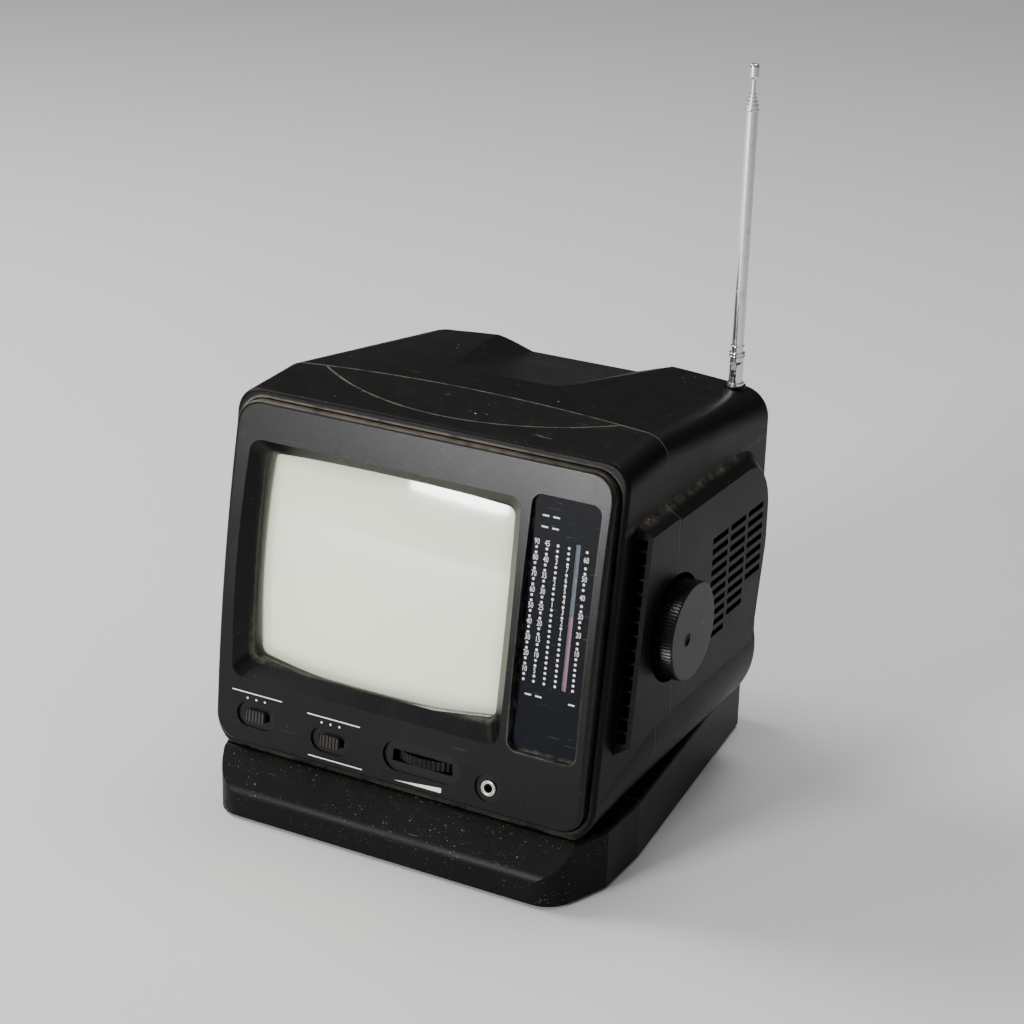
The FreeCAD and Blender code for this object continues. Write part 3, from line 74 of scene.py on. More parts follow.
# ------------------------------------------------------------------ places
@dataclass(frozen=True)
class Places:
    """Reference places of the object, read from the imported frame.

    Args:
        origin: Lower middle of the front panel's edge plane.
        parting: Where the two cabinet halves meet along Y.
        seam: Where the two base mouldings meet along Y.
    """

    origin: Vector
    parting: float
    seam: float

    @classmethod
    def read(cls) -> "Places":
        """Work the places out from the nodes' boxes."""
        panel_low, panel_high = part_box("front_panel")
        base_low, base_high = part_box("base_front")
        _, cabinet_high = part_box("front_cabinet")
        middle = (panel_low[0] + panel_high[0]) / 2
        origin = Vector((middle, base_low[1] + NOSE_DEPTH, PANEL_FOOT))
        return cls(origin=origin, parting=cabinet_high[1], seam=base_high[1])

    def panel_matrix(self) -> Matrix:
        """Matrix from panel coordinates (u right, v up, w out) to the frame."""
        turn = Matrix.Rotation(math.pi / 2 - LEAN, 4, "X")
        return Matrix.Translation(self.origin) @ turn


PLACES = Places.read()


# ------------------------------------------------------------------ shader tools
class Value:
    """A number socket whose arithmetic adds Math nodes."""

    def __init__(self, shader: "Shader", socket: bpy.types.NodeSocket) -> None:
        """Keep the socket and the tree that it is in."""
        self.shader = shader
        self.socket = socket

    def math(self, operation: str, *others: Any) -> "Value":
        """Apply a Math node.

        Args:
            operation: The node's operation.
            others: The other operands, numbers or values.

        Returns:
            The node's output.
        """
        inputs = {i: v for i, v in enumerate((self, *others))}
        return self.shader.node("Math", {"operation": operation}, inputs)

    def __add__(self, other: Any) -> "Value":
        """Sum."""
        return self.math("ADD", other)

    __radd__ = __add__

    def __mul__(self, other: Any) -> "Value":
        """Product."""
        return self.math("MULTIPLY", other)

    def __sub__(self, other: Any) -> "Value":
        """Difference."""
        return self.math("SUBTRACT", other)

    def __rsub__(self, other: Any) -> "Value":
        """Reflected difference."""
        return (self * -1.0) + other

    def __truediv__(self, other: Any) -> "Value":
        """Quotient."""
        return self.math("DIVIDE", other)

    def __abs__(self) -> "Value":
        """Absolute value."""
        return self.math("ABSOLUTE")

    def top(self, other: Any) -> "Value":
        """The larger of two."""
        return self.math("MAXIMUM", other)

    def low(self, other: Any) -> "Value":
        """The smaller of two."""
        return self.math("MINIMUM", other)

    def ramp(self, start: float, end: float) -> "Value":
        """Smooth step from 0 at start to 1 at end."""
        settings = {"interpolation_type": "SMOOTHSTEP"}
        return self.shader.node("MapRange", settings, {0: self, 1: start, 2: end})


class Shader:
    """A material's node tree with one method that makes its nodes."""

    def __init__(self, name: str) -> None:
        """Start a material with only its output."""
        self.material = bpy.data.materials.new(name)
        self.material.use_nodes = True
        self.tree = self.material.node_tree
        self.tree.nodes.clear()
        self.place = self.node("TexCoord", {}, {}, "Object")

    def node(self, kind: str, settings: dict[str, Any], inputs: dict[Any, Any],
             output: Any = 0) -> Value:
        """Make a node.

        Args:
            kind: Node type without its prefix.
            settings: Properties set before the sockets.
            inputs: Values or links by socket name or number.
            output: Which output to return.

        Returns:
            The chosen output.
        """
        made = self.tree.nodes.new("ShaderNode" + kind)
        for key, value in settings.items():
            setattr(made, key, value)
        for key, value in inputs.items():
            if isinstance(value, Value):
                self.tree.links.new(value.socket, made.inputs[key])
            else:
                made.inputs[key].default_value = value
        return Value(self, made.outputs[output]) if made.outputs else Value(self, None)

    def axes(self, vector: Value) -> tuple[Value, Value, Value]:
        """Split a vector into three values."""
        split = self.node("SeparateXYZ", {}, {0: vector})
        outputs = split.socket.node.outputs
        return tuple(Value(self, outputs[i]) for i in range(3))

    def noise(self, scale: float, detail: float = 3.0, stretch: Sequence[float] = (1, 1, 1),
              rough: float = 0.55) -> Value:
        """Noise over object coordinates, with an optional stretch."""
        where = self.node("Mapping", {}, {0: self.place, 3: tuple(stretch)})
        sockets = {"Vector": where, "Scale": scale, "Detail": detail, "Roughness": rough}
        return self.node("TexNoise", {}, sockets)

    def mix(self, factor: Any, first: Any, second: Any) -> Value:
        """Mix two colours."""
        return self.node("MixRGB", {"blend_type": "MIX"}, {0: factor, 1: first, 2: second})

    def panel(self) -> tuple[Value, Value, Value]:
        """Coordinates in the front panel's leaning plane."""
        turn = (math.pi / 2 - LEAN, 0.0, 0.0)
        sockets = {0: self.place, 1: tuple(PLACES.origin), 2: turn}
        return self.axes(self.node("Mapping", {"vector_type": "TEXTURE"}, sockets))

    def finish(self, colour: Any, roughness: Any, bump: Value | None = None,
               height: float = 0.0002, **plain: Any) -> bpy.types.Material:
        """Add the surface shader and the output.

        Args:
            colour: Base colour, a tuple or a link.
            roughness: Number or link.
            bump: Height for a Bump node.
            height: The bump's distance in metres.
            plain: Other sockets by name, underscores for spaces.

        Returns:
            The finished material.
        """
        sockets: dict[Any, Any] = {"Base Color": colour, "Roughness": roughness}
        for key, value in plain.items():
            sockets[key.replace("_", " ")] = value
        if bump is not None:
            sockets["Normal"] = self.node("Bump", {}, {"Height": bump, "Distance": height,
                                                       "Strength": 1.0})
        surface = self.node("BsdfPrincipled", {}, sockets)
        self.node("OutputMaterial", {}, {0: surface})
        return self.material


def rectangle_distance(u: Value, v: Value, centre: tuple[float, float],
                       half: tuple[float, float], corner: float) -> Value:
    """Signed distance to a rounded rectangle, in metres."""
    qx = abs(u - centre[0]) - (half[0] - corner)
    qy = abs(v - centre[1]) - (half[1] - corner)
    outside = (qx.top(0.0) * qx.top(0.0) + qy.top(0.0) * qy.top(0.0)).math("SQRT")
    return outside + qx.top(qy).low(0.0) - corner


# ------------------------------------------------------------------ finishes
@dataclass(frozen=True)
class AgedPlastic:
    """Near-black moulded plastic with fine grain, handling marks and dust.

    Args:
        name: Material name.
        base: Clean colour.
        rough: Roughness of the clean surface.
        dust: Strength of the general dust.
        grain: Depth of the moulded grain in metres.
        shine: Strength of the reflection.
        speck: Noise level over which a speck of dust lies; lower gives more specks.
        scuff: Strength of the scratches.
        lines: Draw the parting and base seams.
        groove: Draw dust round the front panel.
    """

    name: str
    base: tuple[float, float, float] = (0.0026, 0.0025, 0.0025)
    rough: float = 0.38
    dust: float = 1.0
    grain: float = 0.00006
    shine: float = 0.14
    speck: float = 0.72
    scuff: float = 1.0
    lines: bool = True
    groove: bool = True

    def build(self) -> bpy.types.Material:
        """Make the material."""
        s = Shader(self.name)
        x, y, z = s.axes(s.place)
        grain = s.noise(2600.0, 2.0)
        cloud = s.noise(38.0, 4.0)
        patch = s.noise(140.0, 5.0, rough=0.7)
        specks = s.noise(1300.0, 2.0).ramp(self.speck, self.speck + 0.05) * patch.ramp(0.42, 0.62)
        scratches = s.noise(260.0, 2.0, stretch=(0.25, 1.0, 5.0)).ramp(0.71, 0.735)
        across = s.noise(230.0, 2.0, stretch=(5.0, 0.3, 1.0)).ramp(0.715, 0.74)
        marks = (scratches + across) * cloud.ramp(0.42, 0.7)
        facing = s.axes(s.node("NewGeometry", {}, {}, "Normal"))[2]
        settled = facing.ramp(0.4, 0.98) * (0.3 + patch.ramp(0.4, 0.8) * 0.7) * 0.016
        film = specks * 0.5 + marks * (0.3 * self.scuff) + settled
        height = grain
        if self.groove:
            film = film + self.panel_creases(s, patch)
        if self.lines:
            seam, cut = self.seams(y, z, patch)
            arc, dent = self.top_arc(x, y, z, patch)
            film = film + seam + arc + self.block_dust(x, z, patch)
            height = height - cut - dent
        film = (film * self.dust).low(1.0)
        clean = s.mix(cloud.ramp(0.3, 0.8), (*self.base, 1), (*[c * 1.25 for c in self.base], 1))
        tan = s.mix(patch, (0.22, 0.18, 0.13, 1), (0.40, 0.36, 0.30, 1))
        colour = s.mix(film, clean, tan)
        roughness = (film * 0.45 + self.rough + (cloud - 0.5) * 0.16).low(0.95)
        chips = s.noise(620.0, 2.0).ramp(0.735, 0.76) * s.noise(70.0, 2.0).ramp(0.53, 0.64)
        colour = s.mix((chips * facing.ramp(0.1, 0.8) * self.dust).low(1.0), colour,
                       (0.6, 0.59, 0.56, 1))
        return s.finish(colour, roughness, height, self.grain, IOR=1.4,
                        Specular_IOR_Level=self.shine)

    @staticmethod
    def panel_creases(s: Shader, patch: Value) -> Value:
        """Dust along the groove round the panel and the edges of its recesses.

        Args:
            s: The tree.
            patch: Noise that breaks the line up.

        Returns:
            The dust's strength.
        """
        u, v, w = s.panel()
        front = w.ramp(-9.0 * MM, -5.0 * MM)
        edge = rectangle_distance(u, v, PANEL_CENTRE, PANEL_HALF, 10 * MM)
        groove = 1.0 - abs(edge - 0.4 * MM).ramp(0.25 * MM, 1.5 * MM)
        low_side = 1.0 - v.ramp(0.0, 90 * MM)
        high_side = v.ramp(124 * MM, 134 * MM) * (1.0 - u.ramp(20 * MM, 78 * MM) * 0.75)
        strength = groove * front * (0.05 + high_side * 0.42) * patch.ramp(0.25, 0.55)
        screen = rectangle_distance(u, v, SCREEN_CENTRE, SCREEN_HALF, 4 * MM)
        lip = 1.0 - abs(screen - 0.2 * MM).ramp(0.1 * MM, 1.6 * MM)
        dial = rectangle_distance(u, v, DIAL_CENTRE, DIAL_HALF, 4 * MM)
        frame_line = 1.0 - abs(dial).ramp(0.1 * MM, 0.8 * MM)
        inner = (lip + frame_line) * front * (0.08 + low_side * 0.25) * patch.ramp(0.3, 0.65)
        return strength + inner

    @staticmethod
    def top_arc(x: Value, y: Value, z: Value, patch: Value) -> tuple[Value, Value]:
        """Shallow curved step across the top in front of the parting line.

        Args:
            x: Position along X.
            y: Position along Y.
            z: Position along Z.
            patch: Noise that breaks the line up.

        Returns:
            The dust's strength and the step's depth.
        """
        half, reach = 64 * MM, 22.5 * MM
        across = (x - PLACES.origin.x) / half
        line = across * across * reach + (PLACES.parting - reach)
        near = 1.0 - abs(y - line).ramp(0.15 * MM, 0.6 * MM)
        inside = (1.0 - abs(across).ramp(0.97, 1.0)) * z.ramp(ROOF_LOW, ROOF_LOW + 3 * MM)
        return near * inside * (0.08 + patch.ramp(0.3, 0.65) * 0.3), near * inside * 4.0

    @staticmethod
    def block_dust(x: Value, z: Value, patch: Value) -> Value:
        """Dust that has settled in the corner over the side's raised block."""
        side = (x - PLACES.origin.x).ramp(BLOCK_SIDE, BLOCK_SIDE + 0.4 * MM)
        corner = 1.0 - abs(z - BLOCK_TOP).ramp(0.3 * MM, 2.2 * MM)
        return corner * side * (0.06 + patch.ramp(0.4, 0.7) * 0.3)

    @staticmethod
    def seams(y: Value, z: Value, patch: Value) -> tuple[Value, Value]:
        """Dusty joints between cabinet halves, base mouldings and cabinet foot.

        Args:
            y: Position along Y.
            z: Position along Z.
            patch: Noise that breaks the line up.

        Returns:
            The dust's strength and the joint's depth.
        """
        above = z.ramp(BASE_TOP - 0.6 * MM, BASE_TOP)
        parting = (1.0 - abs(y - PLACES.parting).ramp(0.15 * MM, 0.5 * MM)) * above
        base = (1.0 - abs(y - PLACES.seam).ramp(0.12 * MM, 0.4 * MM)) * (1.0 - above)
        clear = z.ramp(BASE_TOP - 0.45 * MM, BASE_TOP - 0.3 * MM)
        foot = (1.0 - z.ramp(BASE_TOP, BASE_TOP + 2 * MM)) * clear
        broken = patch.ramp(0.3, 0.62)
        dust = (parting * 0.45 + base * 0.3) * (0.2 + broken * 0.8) + foot * broken * 0.12
        return dust, (parting + base) * 6.0


@dataclass(frozen=True)
class DialPlastic:
    """Smoked glossy window, blue-black, faintly scratched."""

    name: str = "smoked_window"

    def build(self) -> bpy.types.Material:
        """Make the material."""
        s = Shader(self.name)
        cloud = s.noise(60.0, 3.0)
        fine = s.noise(420.0, 2.0, stretch=(0.4, 1.0, 3.0)).ramp(0.68, 0.72)
        u, v, _ = s.panel()
        colour = s.mix(cloud, (0.0016, 0.0024, 0.0048, 1), (0.0028, 0.004, 0.0075, 1))
        patch = s.noise(240.0, 4.0)
        low, left = DIAL_CENTRE[1] - DIAL_HALF[1], DIAL_CENTRE[0] - DIAL_HALF[0]
        lip = (1.0 - v.ramp(low + 0.1 * MM, low + 2 * MM)) * patch.ramp(0.3, 0.7) * 0.28
        side = (1.0 - (u - left).ramp(0.2 * MM, 1.2 * MM)) * patch.ramp(0.45, 0.7) * 0.3
        colour = s.mix((fine * 0.08 + lip + side).low(1.0), colour, (0.34, 0.31, 0.26, 1))
        return s.finish(colour, 0.16 + fine * 0.3 + cloud * 0.06 + lip, IOR=1.4,
                        Specular_IOR_Level=0.16)


@dataclass(frozen=True)
class PhosphorGlass:
    """Unlit picture tube: pale grey-green phosphor under thick polished glass, with painted shade darkening
    it towards the rim.
    """

    name: str = "screen_glass"

    def build(self) -> bpy.types.Material:
        """Make the material."""
        s = Shader(self.name)
        u, v, w = s.panel()
        cloud = s.noise(30.0, 3.0)
        rim = rectangle_distance(u, v, SCREEN_CENTRE, SCREEN_HALF, 9 * MM)
        # Painted shade: the phosphor darkens to a shaded copy of its colour within 7 mm of the opening's
        # edge, standing in for the bezel recess's shade.
        painted_rim_shade = (0.0 - rim).ramp(-1.0 * MM, 7 * MM)
        face = s.mix(cloud, (0.84, 0.92, 0.70, 1), (0.88, 0.95, 0.75, 1))
        face = s.mix(painted_rim_shade, (0.60, 0.67, 0.52, 1), face)
        aquadag = w.ramp(-20 * MM, -12 * MM)
        colour = s.mix(aquadag, (0.012, 0.012, 0.012, 1), face)
        smear = s.noise(90.0, 4.0, stretch=(1.0, 1.0, 0.4)).ramp(0.45, 0.8)
        return s.finish(colour, 0.10 + smear * 0.09, Coat_Weight=1.0, Coat_Roughness=0.04)


@dataclass(frozen=True)
class Metal:
    """Plated or bare metal with brushed variation and a little tarnish.

    Args:
        name: Material name.
        tint: Metal colour.
        rough: Mean roughness.
        stretch: Direction of the brushing.
    """

    name: str
    tint: tuple[float, float, float] = (0.72, 0.72, 0.73)
    rough: float = 0.14
    stretch: tuple[float, float, float] = (6.0, 6.0, 0.3)

    def build(self) -> bpy.types.Material:
        """Make the material."""
        s = Shader(self.name)
        brushed = s.noise(500.0, 2.0, stretch=self.stretch)
        stain = s.noise(160.0, 4.0).ramp(0.58, 0.75)
        colour = s.mix(stain * 0.4, (*self.tint, 1), (0.33, 0.29, 0.24, 1))
        roughness = self.rough + brushed * 0.1 + stain * 0.2
        return s.finish(colour, roughness, brushed, 0.00001, Metallic=1.0)


@dataclass(frozen=True)
class PlainStuff:
    """Simple coloured stuff with a mottled surface.

    Args:
        name: Material name.
        first: One colour.
        second: The other colour.
        rough: Mean roughness.
        scale: Size of the mottling.
        depth: Bump distance in metres.
        alpha: Opacity.
    """

    name: str
    first: tuple[float, float, float]
    second: tuple[float, float, float]
    rough: float = 0.5
    scale: float = 300.0
    depth: float = 0.00004
    alpha: float = 1.0

    def build(self) -> bpy.types.Material:
        """Make the material."""
        s = Shader(self.name)
        mottle = s.noise(self.scale, 4.0)
        colour = s.mix(mottle, (*self.first, 1), (*self.second, 1))
        return s.finish(colour, self.rough + (mottle - 0.5) * 0.2, mottle, self.depth,
                        Alpha=self.alpha)


# ------------------------------------------------------------------ mesh tools
def mesh_piece(name: str, mesh: bpy.types.Mesh, material: bpy.types.Material, body: str) -> bpy.types.Object:
    """Link a finished mesh as a piece.

    Args:
        name: Piece name.
        mesh: Mesh placed in the frame.
        material: Its finish.
        body: Body that it rides on.

    Returns:
        The piece's object.
    """
    piece = bpy.data.objects.new(name, mesh)
    bpy.context.scene.collection.objects.link(piece)
    mesh.materials.clear()
    mesh.materials.append(material)
    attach(piece, body)
    LOG.info("piece %s on %s: %d faces", name, body, len(mesh.polygons))
    return piece


def joined(meshes: Iterable[bpy.types.Mesh], name: str) -> bpy.types.Mesh:
    """Join meshes into one."""
    shape = bmesh.new()
    for mesh in meshes:
        shape.from_mesh(mesh)
    result = bpy.data.meshes.new(name)
    shape.to_mesh(result)
    shape.free()
    return result


def text_mesh(words: str, size: float, narrow: float,
              spot: tuple[float, float, float]) -> bpy.types.Mesh:
    """Printed figures on the panel.

    Args:
        words: The figures.
        size: Height in metres.
        narrow: Width of the figures over their usual width.
        spot: Centre in panel coordinates.

    Returns:
        The mesh, placed in the frame.
    """
    curve = bpy.data.curves.new("figure", "FONT")
    curve.body = words
    curve.size = size
    curve.align_x = "CENTER"
    curve.align_y = "CENTER"
    curve.resolution_u = 2
    curve.extrude = 0.02 * MM
    holder = bpy.data.objects.new("figure", curve)
    bpy.context.scene.collection.objects.link(holder)
    mesh = bpy.data.meshes.new_from_object(holder.evaluated_get(
        bpy.context.evaluated_depsgraph_get()))
    bpy.data.objects.remove(holder)
    thin = Matrix.Diagonal((narrow, 1.0, 1.0, 1.0))
    mesh.transform(PLACES.panel_matrix() @ Matrix.Translation(spot) @ thin)
    return mesh


class Repeater:
    """Geometry Nodes tree that sets a small mark along a line."""

    def __init__(self, name: str, shape: Face, material: bpy.types.Material) -> None:
        """Build the tree with named inputs for its sizes."""
        self.tree = bpy.data.node_groups.new(name, "GeometryNodeTree")
        face = self.tree.interface
        face.new_socket("Geometry", in_out="OUTPUT", socket_type="NodeSocketGeometry")
        self.sockets: dict[str, str] = {}
        for label, kind in (("Count", "NodeSocketInt"), ("Step", "NodeSocketVector"),
                            ("Size", "NodeSocketVector")):
            made = face.new_socket(label, in_out="INPUT", socket_type=kind)
            self.sockets[label] = made.identifier
        entry = self.tree.nodes.new("NodeGroupInput")
        line = self.node("GeometryNodeMeshLine", {"mode": "OFFSET"}, {})
        self.link(entry.outputs["Count"], line.inputs["Count"])
        self.link(entry.outputs["Step"], line.inputs["Offset"])
        if shape is Face.DOT:
            mark = self.node("GeometryNodeMeshCylinder", {}, {"Vertices": 16, "Radius": 0.5,
                                                              "Depth": 1.0})
        else:
            mark = self.node("GeometryNodeMeshCube", {}, {"Size": (1.0, 1.0, 1.0)})
        marks = self.node("GeometryNodeInstanceOnPoints", {}, {})
        self.link(line.outputs[0], marks.inputs["Points"])
        self.link(mark.outputs[0], marks.inputs["Instance"])
        self.link(entry.outputs["Size"], marks.inputs["Scale"])
        real = self.node("GeometryNodeRealizeInstances", {}, {})
        self.link(marks.outputs[0], real.inputs[0])
        dress = self.node("GeometryNodeSetMaterial", {}, {"Material": material})
        self.link(real.outputs[0], dress.inputs[0])
        leave = self.tree.nodes.new("NodeGroupOutput")
        self.link(dress.outputs[0], leave.inputs[0])

    def node(self, kind: str, settings: dict[str, Any], inputs: dict[str, Any]) -> bpy.types.Node:
        """Make a geometry node."""
        made = self.tree.nodes.new(kind)
        for key, value in settings.items():
            setattr(made, key, value)
        for key, value in inputs.items():
            made.inputs[key].default_value = value
        return made

    def link(self, start: bpy.types.NodeSocket, end: bpy.types.NodeSocket) -> None:
        """Join two sockets."""
        self.tree.links.new(start, end)

    def mesh(self, count: int, step: Sequence[float], size: Sequence[float],
             place: Matrix) -> bpy.types.Mesh:
        """Run the tree and return a plain mesh.

        Args:
            count: How many marks.
            step: Offset from one to the next.
            size: Width, height and depth of a mark.
            place: Where the first mark goes.

        Returns:
            The mesh, placed in the frame.
        """
        holder = bpy.data.objects.new("holder", bpy.data.meshes.new("holder"))
        bpy.context.scene.collection.objects.link(holder)
        modifier = holder.modifiers.new("marks", "NODES")
        modifier.node_group = self.tree
        for label, value in (("Count", count), ("Step", step), ("Size", size)):
            modifier[self.sockets[label]] = value
        depsgraph = bpy.context.evaluated_depsgraph_get()
        mesh = bpy.data.meshes.new_from_object(holder.evaluated_get(depsgraph))
        bpy.data.objects.remove(holder)
        mesh.transform(place)
        return mesh


def lathe(profile: Sequence[tuple[float, float]], place: Matrix, steps: int = 48) -> bpy.types.Mesh:
    """Turn a profile of (radius, height) round Z.

    Args:
        profile: Points from the lower to the upper end, closed on the axis or on itself.
        place: Where it goes.
        steps: Number of facets.

    Returns:
        A closed mesh with outward normals.
    """
    shape = bmesh.new()
    rings = []
    for i in range(steps):
        a = 2 * math.pi * i / steps
        rings.append([shape.verts.new((r * math.cos(a), r * math.sin(a), z)) for r, z in profile])
    count = len(profile)
    for i in range(steps):
        here, there = rings[i], rings[(i + 1) % steps]
        for j in range(count):
            k = (j + 1) % count
            shape.faces.new((here[j], there[j], there[k], here[k]))
    bmesh.ops.remove_doubles(shape, verts=shape.verts, dist=1e-7)
    bmesh.ops.recalc_face_normals(shape, faces=shape.faces)
    mesh = bpy.data.meshes.new("turned")
    shape.to_mesh(mesh)
    shape.free()
    mesh.transform(place)
    mesh.shade_smooth()
    return mesh


# ------------------------------------------------------------------ sub-assemblies
@dataclass
class Finishes:
    """All finishes, made once."""

    made: dict[str, bpy.types.Material] = field(default_factory=dict)

    def __post_init__(self) -> None:
        """Build every material."""
        kinds = (
            AgedPlastic("cabinet_plastic"),
            AgedPlastic("panel_plastic", base=(0.0026, 0.0026, 0.0028), rough=0.28, shine=0.27,
                        scuff=0.45, dust=0.7, grain=0.00004, lines=False),
            AgedPlastic("knob_plastic", rough=0.28, shine=0.24, dust=0.9,
                        lines=False, groove=False),
            AgedPlastic("button_plastic", base=(0.03, 0.027, 0.024), rough=0.6, dust=2.0,
                        lines=False, groove=False),
            AgedPlastic("base_plastic", base=(0.0028, 0.0027, 0.0027), rough=0.40, dust=1.2,
                        speck=0.66, scuff=0.35, groove=False),
            DialPlastic(), PhosphorGlass(), Metal("chrome"),
            Metal("nickel_ring", tint=(0.45, 0.44, 0.42), rough=0.22),
            Metal("plated_steel", tint=(0.5, 0.5, 0.5), rough=0.35),
            Metal("bare_aluminium", tint=(0.78, 0.78, 0.78), rough=0.35),
            PlainStuff("milky_strip", (0.16, 0.19, 0.24), (0.2, 0.235, 0.29), 0.4, 200.0,
                       alpha=0.3),
            PlainStuff("pointer_red", (0.62, 0.02, 0.02), (0.72, 0.03, 0.026), 0.4),
            PlainStuff("print_white", (0.62, 0.63, 0.62), (0.78, 0.79, 0.78), 0.5, 900.0),
            PlainStuff("inner_plastic", (0.06, 0.06, 0.058), (0.1, 0.1, 0.095), 0.55),
            PlainStuff("varnished_coil", (0.3, 0.08, 0.02), (0.42, 0.14, 0.04), 0.3),
            PlainStuff("phenolic_board", (0.32, 0.2, 0.08), (0.4, 0.26, 0.11), 0.5),
            PlainStuff("foot_rubber", (0.02, 0.02, 0.02), (0.035, 0.034, 0.032), 0.8),
            PlainStuff("cone_paper", (0.02, 0.02, 0.019), (0.04, 0.038, 0.035), 0.9, 900.0),
        )
        for kind in kinds:
            self.made[kind.name] = kind.build()

    def dress(self, finish: str, *nodes: str) -> None:
        """Give CAD nodes a finish.

        Args:
            finish: Material name.
            nodes: Node names.
        """
        for name in nodes:
            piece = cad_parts[name]
            for holder in piece.material_slots:
                holder.material = self.made[finish]
            LOG.info("node %s: %s", name, finish)


@dataclass
class Cabinet:
    """Cabinet halves, base and side knob."""

    finishes: Finishes

    def build(self) -> None:
        """Dress the mouldings."""
        self.finishes.dress("cabinet_plastic", "front_cabinet", "rear_cabinet")
        self.finishes.dress("base_plastic", "base_front", "base_rear", "base_cover")
        self.finishes.dress("panel_plastic", "front_panel")
        self.finishes.dress("knob_plastic", "tuning_knob", "volume_wheel", "brightness_knob",
                            "contrast_knob", "hold_knob")
        self.finishes.dress("foot_rubber", "rubber_feet")


@dataclass
class Dial:
    """Window, printed scales and pointer.

    Args:
        finishes: The materials.
        lift: Height of the print over the panel's edge plane.
        dot: Diameter of a scale dot.
        pitch: Distance between scale dots, in millimetres.
        rows: Lowest row of dots, in millimetres, and the number of rows.
        clear: Room left round a figure, in millimetres.
        bar: Width, height and depth of the bars over and under the columns.
        figure: Height of a figure.
        narrow: Width of a figure against its usual width.
        columns: Per column: place across, lowest figure's height and the gap between figures
            (all in millimetres), the plain count's step, and how many figures.
    """

    finishes: Finishes
    lift: float = -0.47 * MM
    dot: float = 1.05 * MM
    pitch: float = 2.0
    rows: tuple[float, int] = (54.5, 27)
    clear: float = 1.75
    bar: tuple[float, float, float] = (2.6 * MM, 0.55 * MM, 0.04 * MM)
    figure: float = 3.1 * MM
    narrow: float = 0.7
    columns: tuple[tuple[float, float, float, int, int], ...] = (
        (50.9, 58.5, 6.0, 10, 9),
        (55.1, 58.5, 6.0, 5, 9),
        (59.4, 84.5, 8.0, 1, 3),
        (63.9, 74.5, 4.0, 1, 7),
        (71.1, 68.5, 7.0, 10, 6),
    )

    def build(self) -> None:
        """Dress the window and print the scales."""
        self.finishes.dress("smoked_window", "dial_window")
        self.finishes.dress("pointer_red", "dial_pointer")
        white = self.finishes.made["print_white"]
        dots = Repeater("scale_dots", Face.DOT, white)
        bars = Repeater("scale_bars", Face.BAR, white)
        meshes = []
        place = PLACES.panel_matrix()
        for u, low, gap, step, count in self.columns:
            figures = {low + gap * i: str(step * (i + 1)) for i in range(count)}
            for start, length in self.runs(tuple(figures)):
                spot = (u * MM, start * MM, self.lift)
                meshes.append(dots.mesh(length, (0, self.pitch * MM, 0),
                                        (self.dot, self.dot, 0.04 * MM),
                                        place @ Matrix.Translation(spot)))
            for v, words in figures.items():
                meshes.append(text_mesh(words, self.figure, self.narrow,
                                        (u * MM, v * MM, self.lift)))
        for u, v, count in ((53.4, 112.4, 2), (53.4, 116.6, 2), (53.4, 49.2, 2), (71.2, 49.2, 1)):
            where = place @ Matrix.Translation((u * MM, v * MM, self.lift))
            meshes.append(bars.mesh(count, (4.3 * MM, 0, 0), self.bar, where))
        self.slot_lens()
        mesh_piece("dial_print", joined(meshes, "dial_print"), white, "cabinet")

    def runs(self, taken: Sequence[float]) -> list[tuple[float, int]]:
        """Stretches of dots left between the figures.

        Args:
            taken: Heights of the figures, in millimetres.

        Returns:
            Lowest place and length of each stretch.
        """
        first, number = self.rows
        stretches: list[tuple[float, int]] = []
        for row in (first + i * self.pitch for i in range(number)):
            if any(abs(row - v) < self.clear for v in taken):
                continue
            if stretches and abs(stretches[-1][0] + stretches[-1][1] * self.pitch - row) < 0.1:
                stretches[-1] = (stretches[-1][0], stretches[-1][1] + 1)
            else:
                stretches.append((row, 1))
        return stretches

    def slot_lens(self) -> None:
        """Milky strip in the window's slot, over the pointer."""
        size = (1.9 * MM, 55.0 * MM, 0.7 * MM)
        centre = (67.3 * MM, 80.9 * MM, -1.2 * MM)
        shape = bmesh.new()
        bmesh.ops.create_cube(shape, size=1.0)
        bmesh.ops.scale(shape, verts=shape.verts, vec=size)
        bmesh.ops.translate(shape, verts=shape.verts, vec=centre)
        mesh = bpy.data.meshes.new("slot_lens")
        shape.to_mesh(mesh)
        shape.free()
        mesh.transform(PLACES.panel_matrix())
        mesh_piece("slot_lens", mesh, self.finishes.made["milky_strip"], "cabinet")


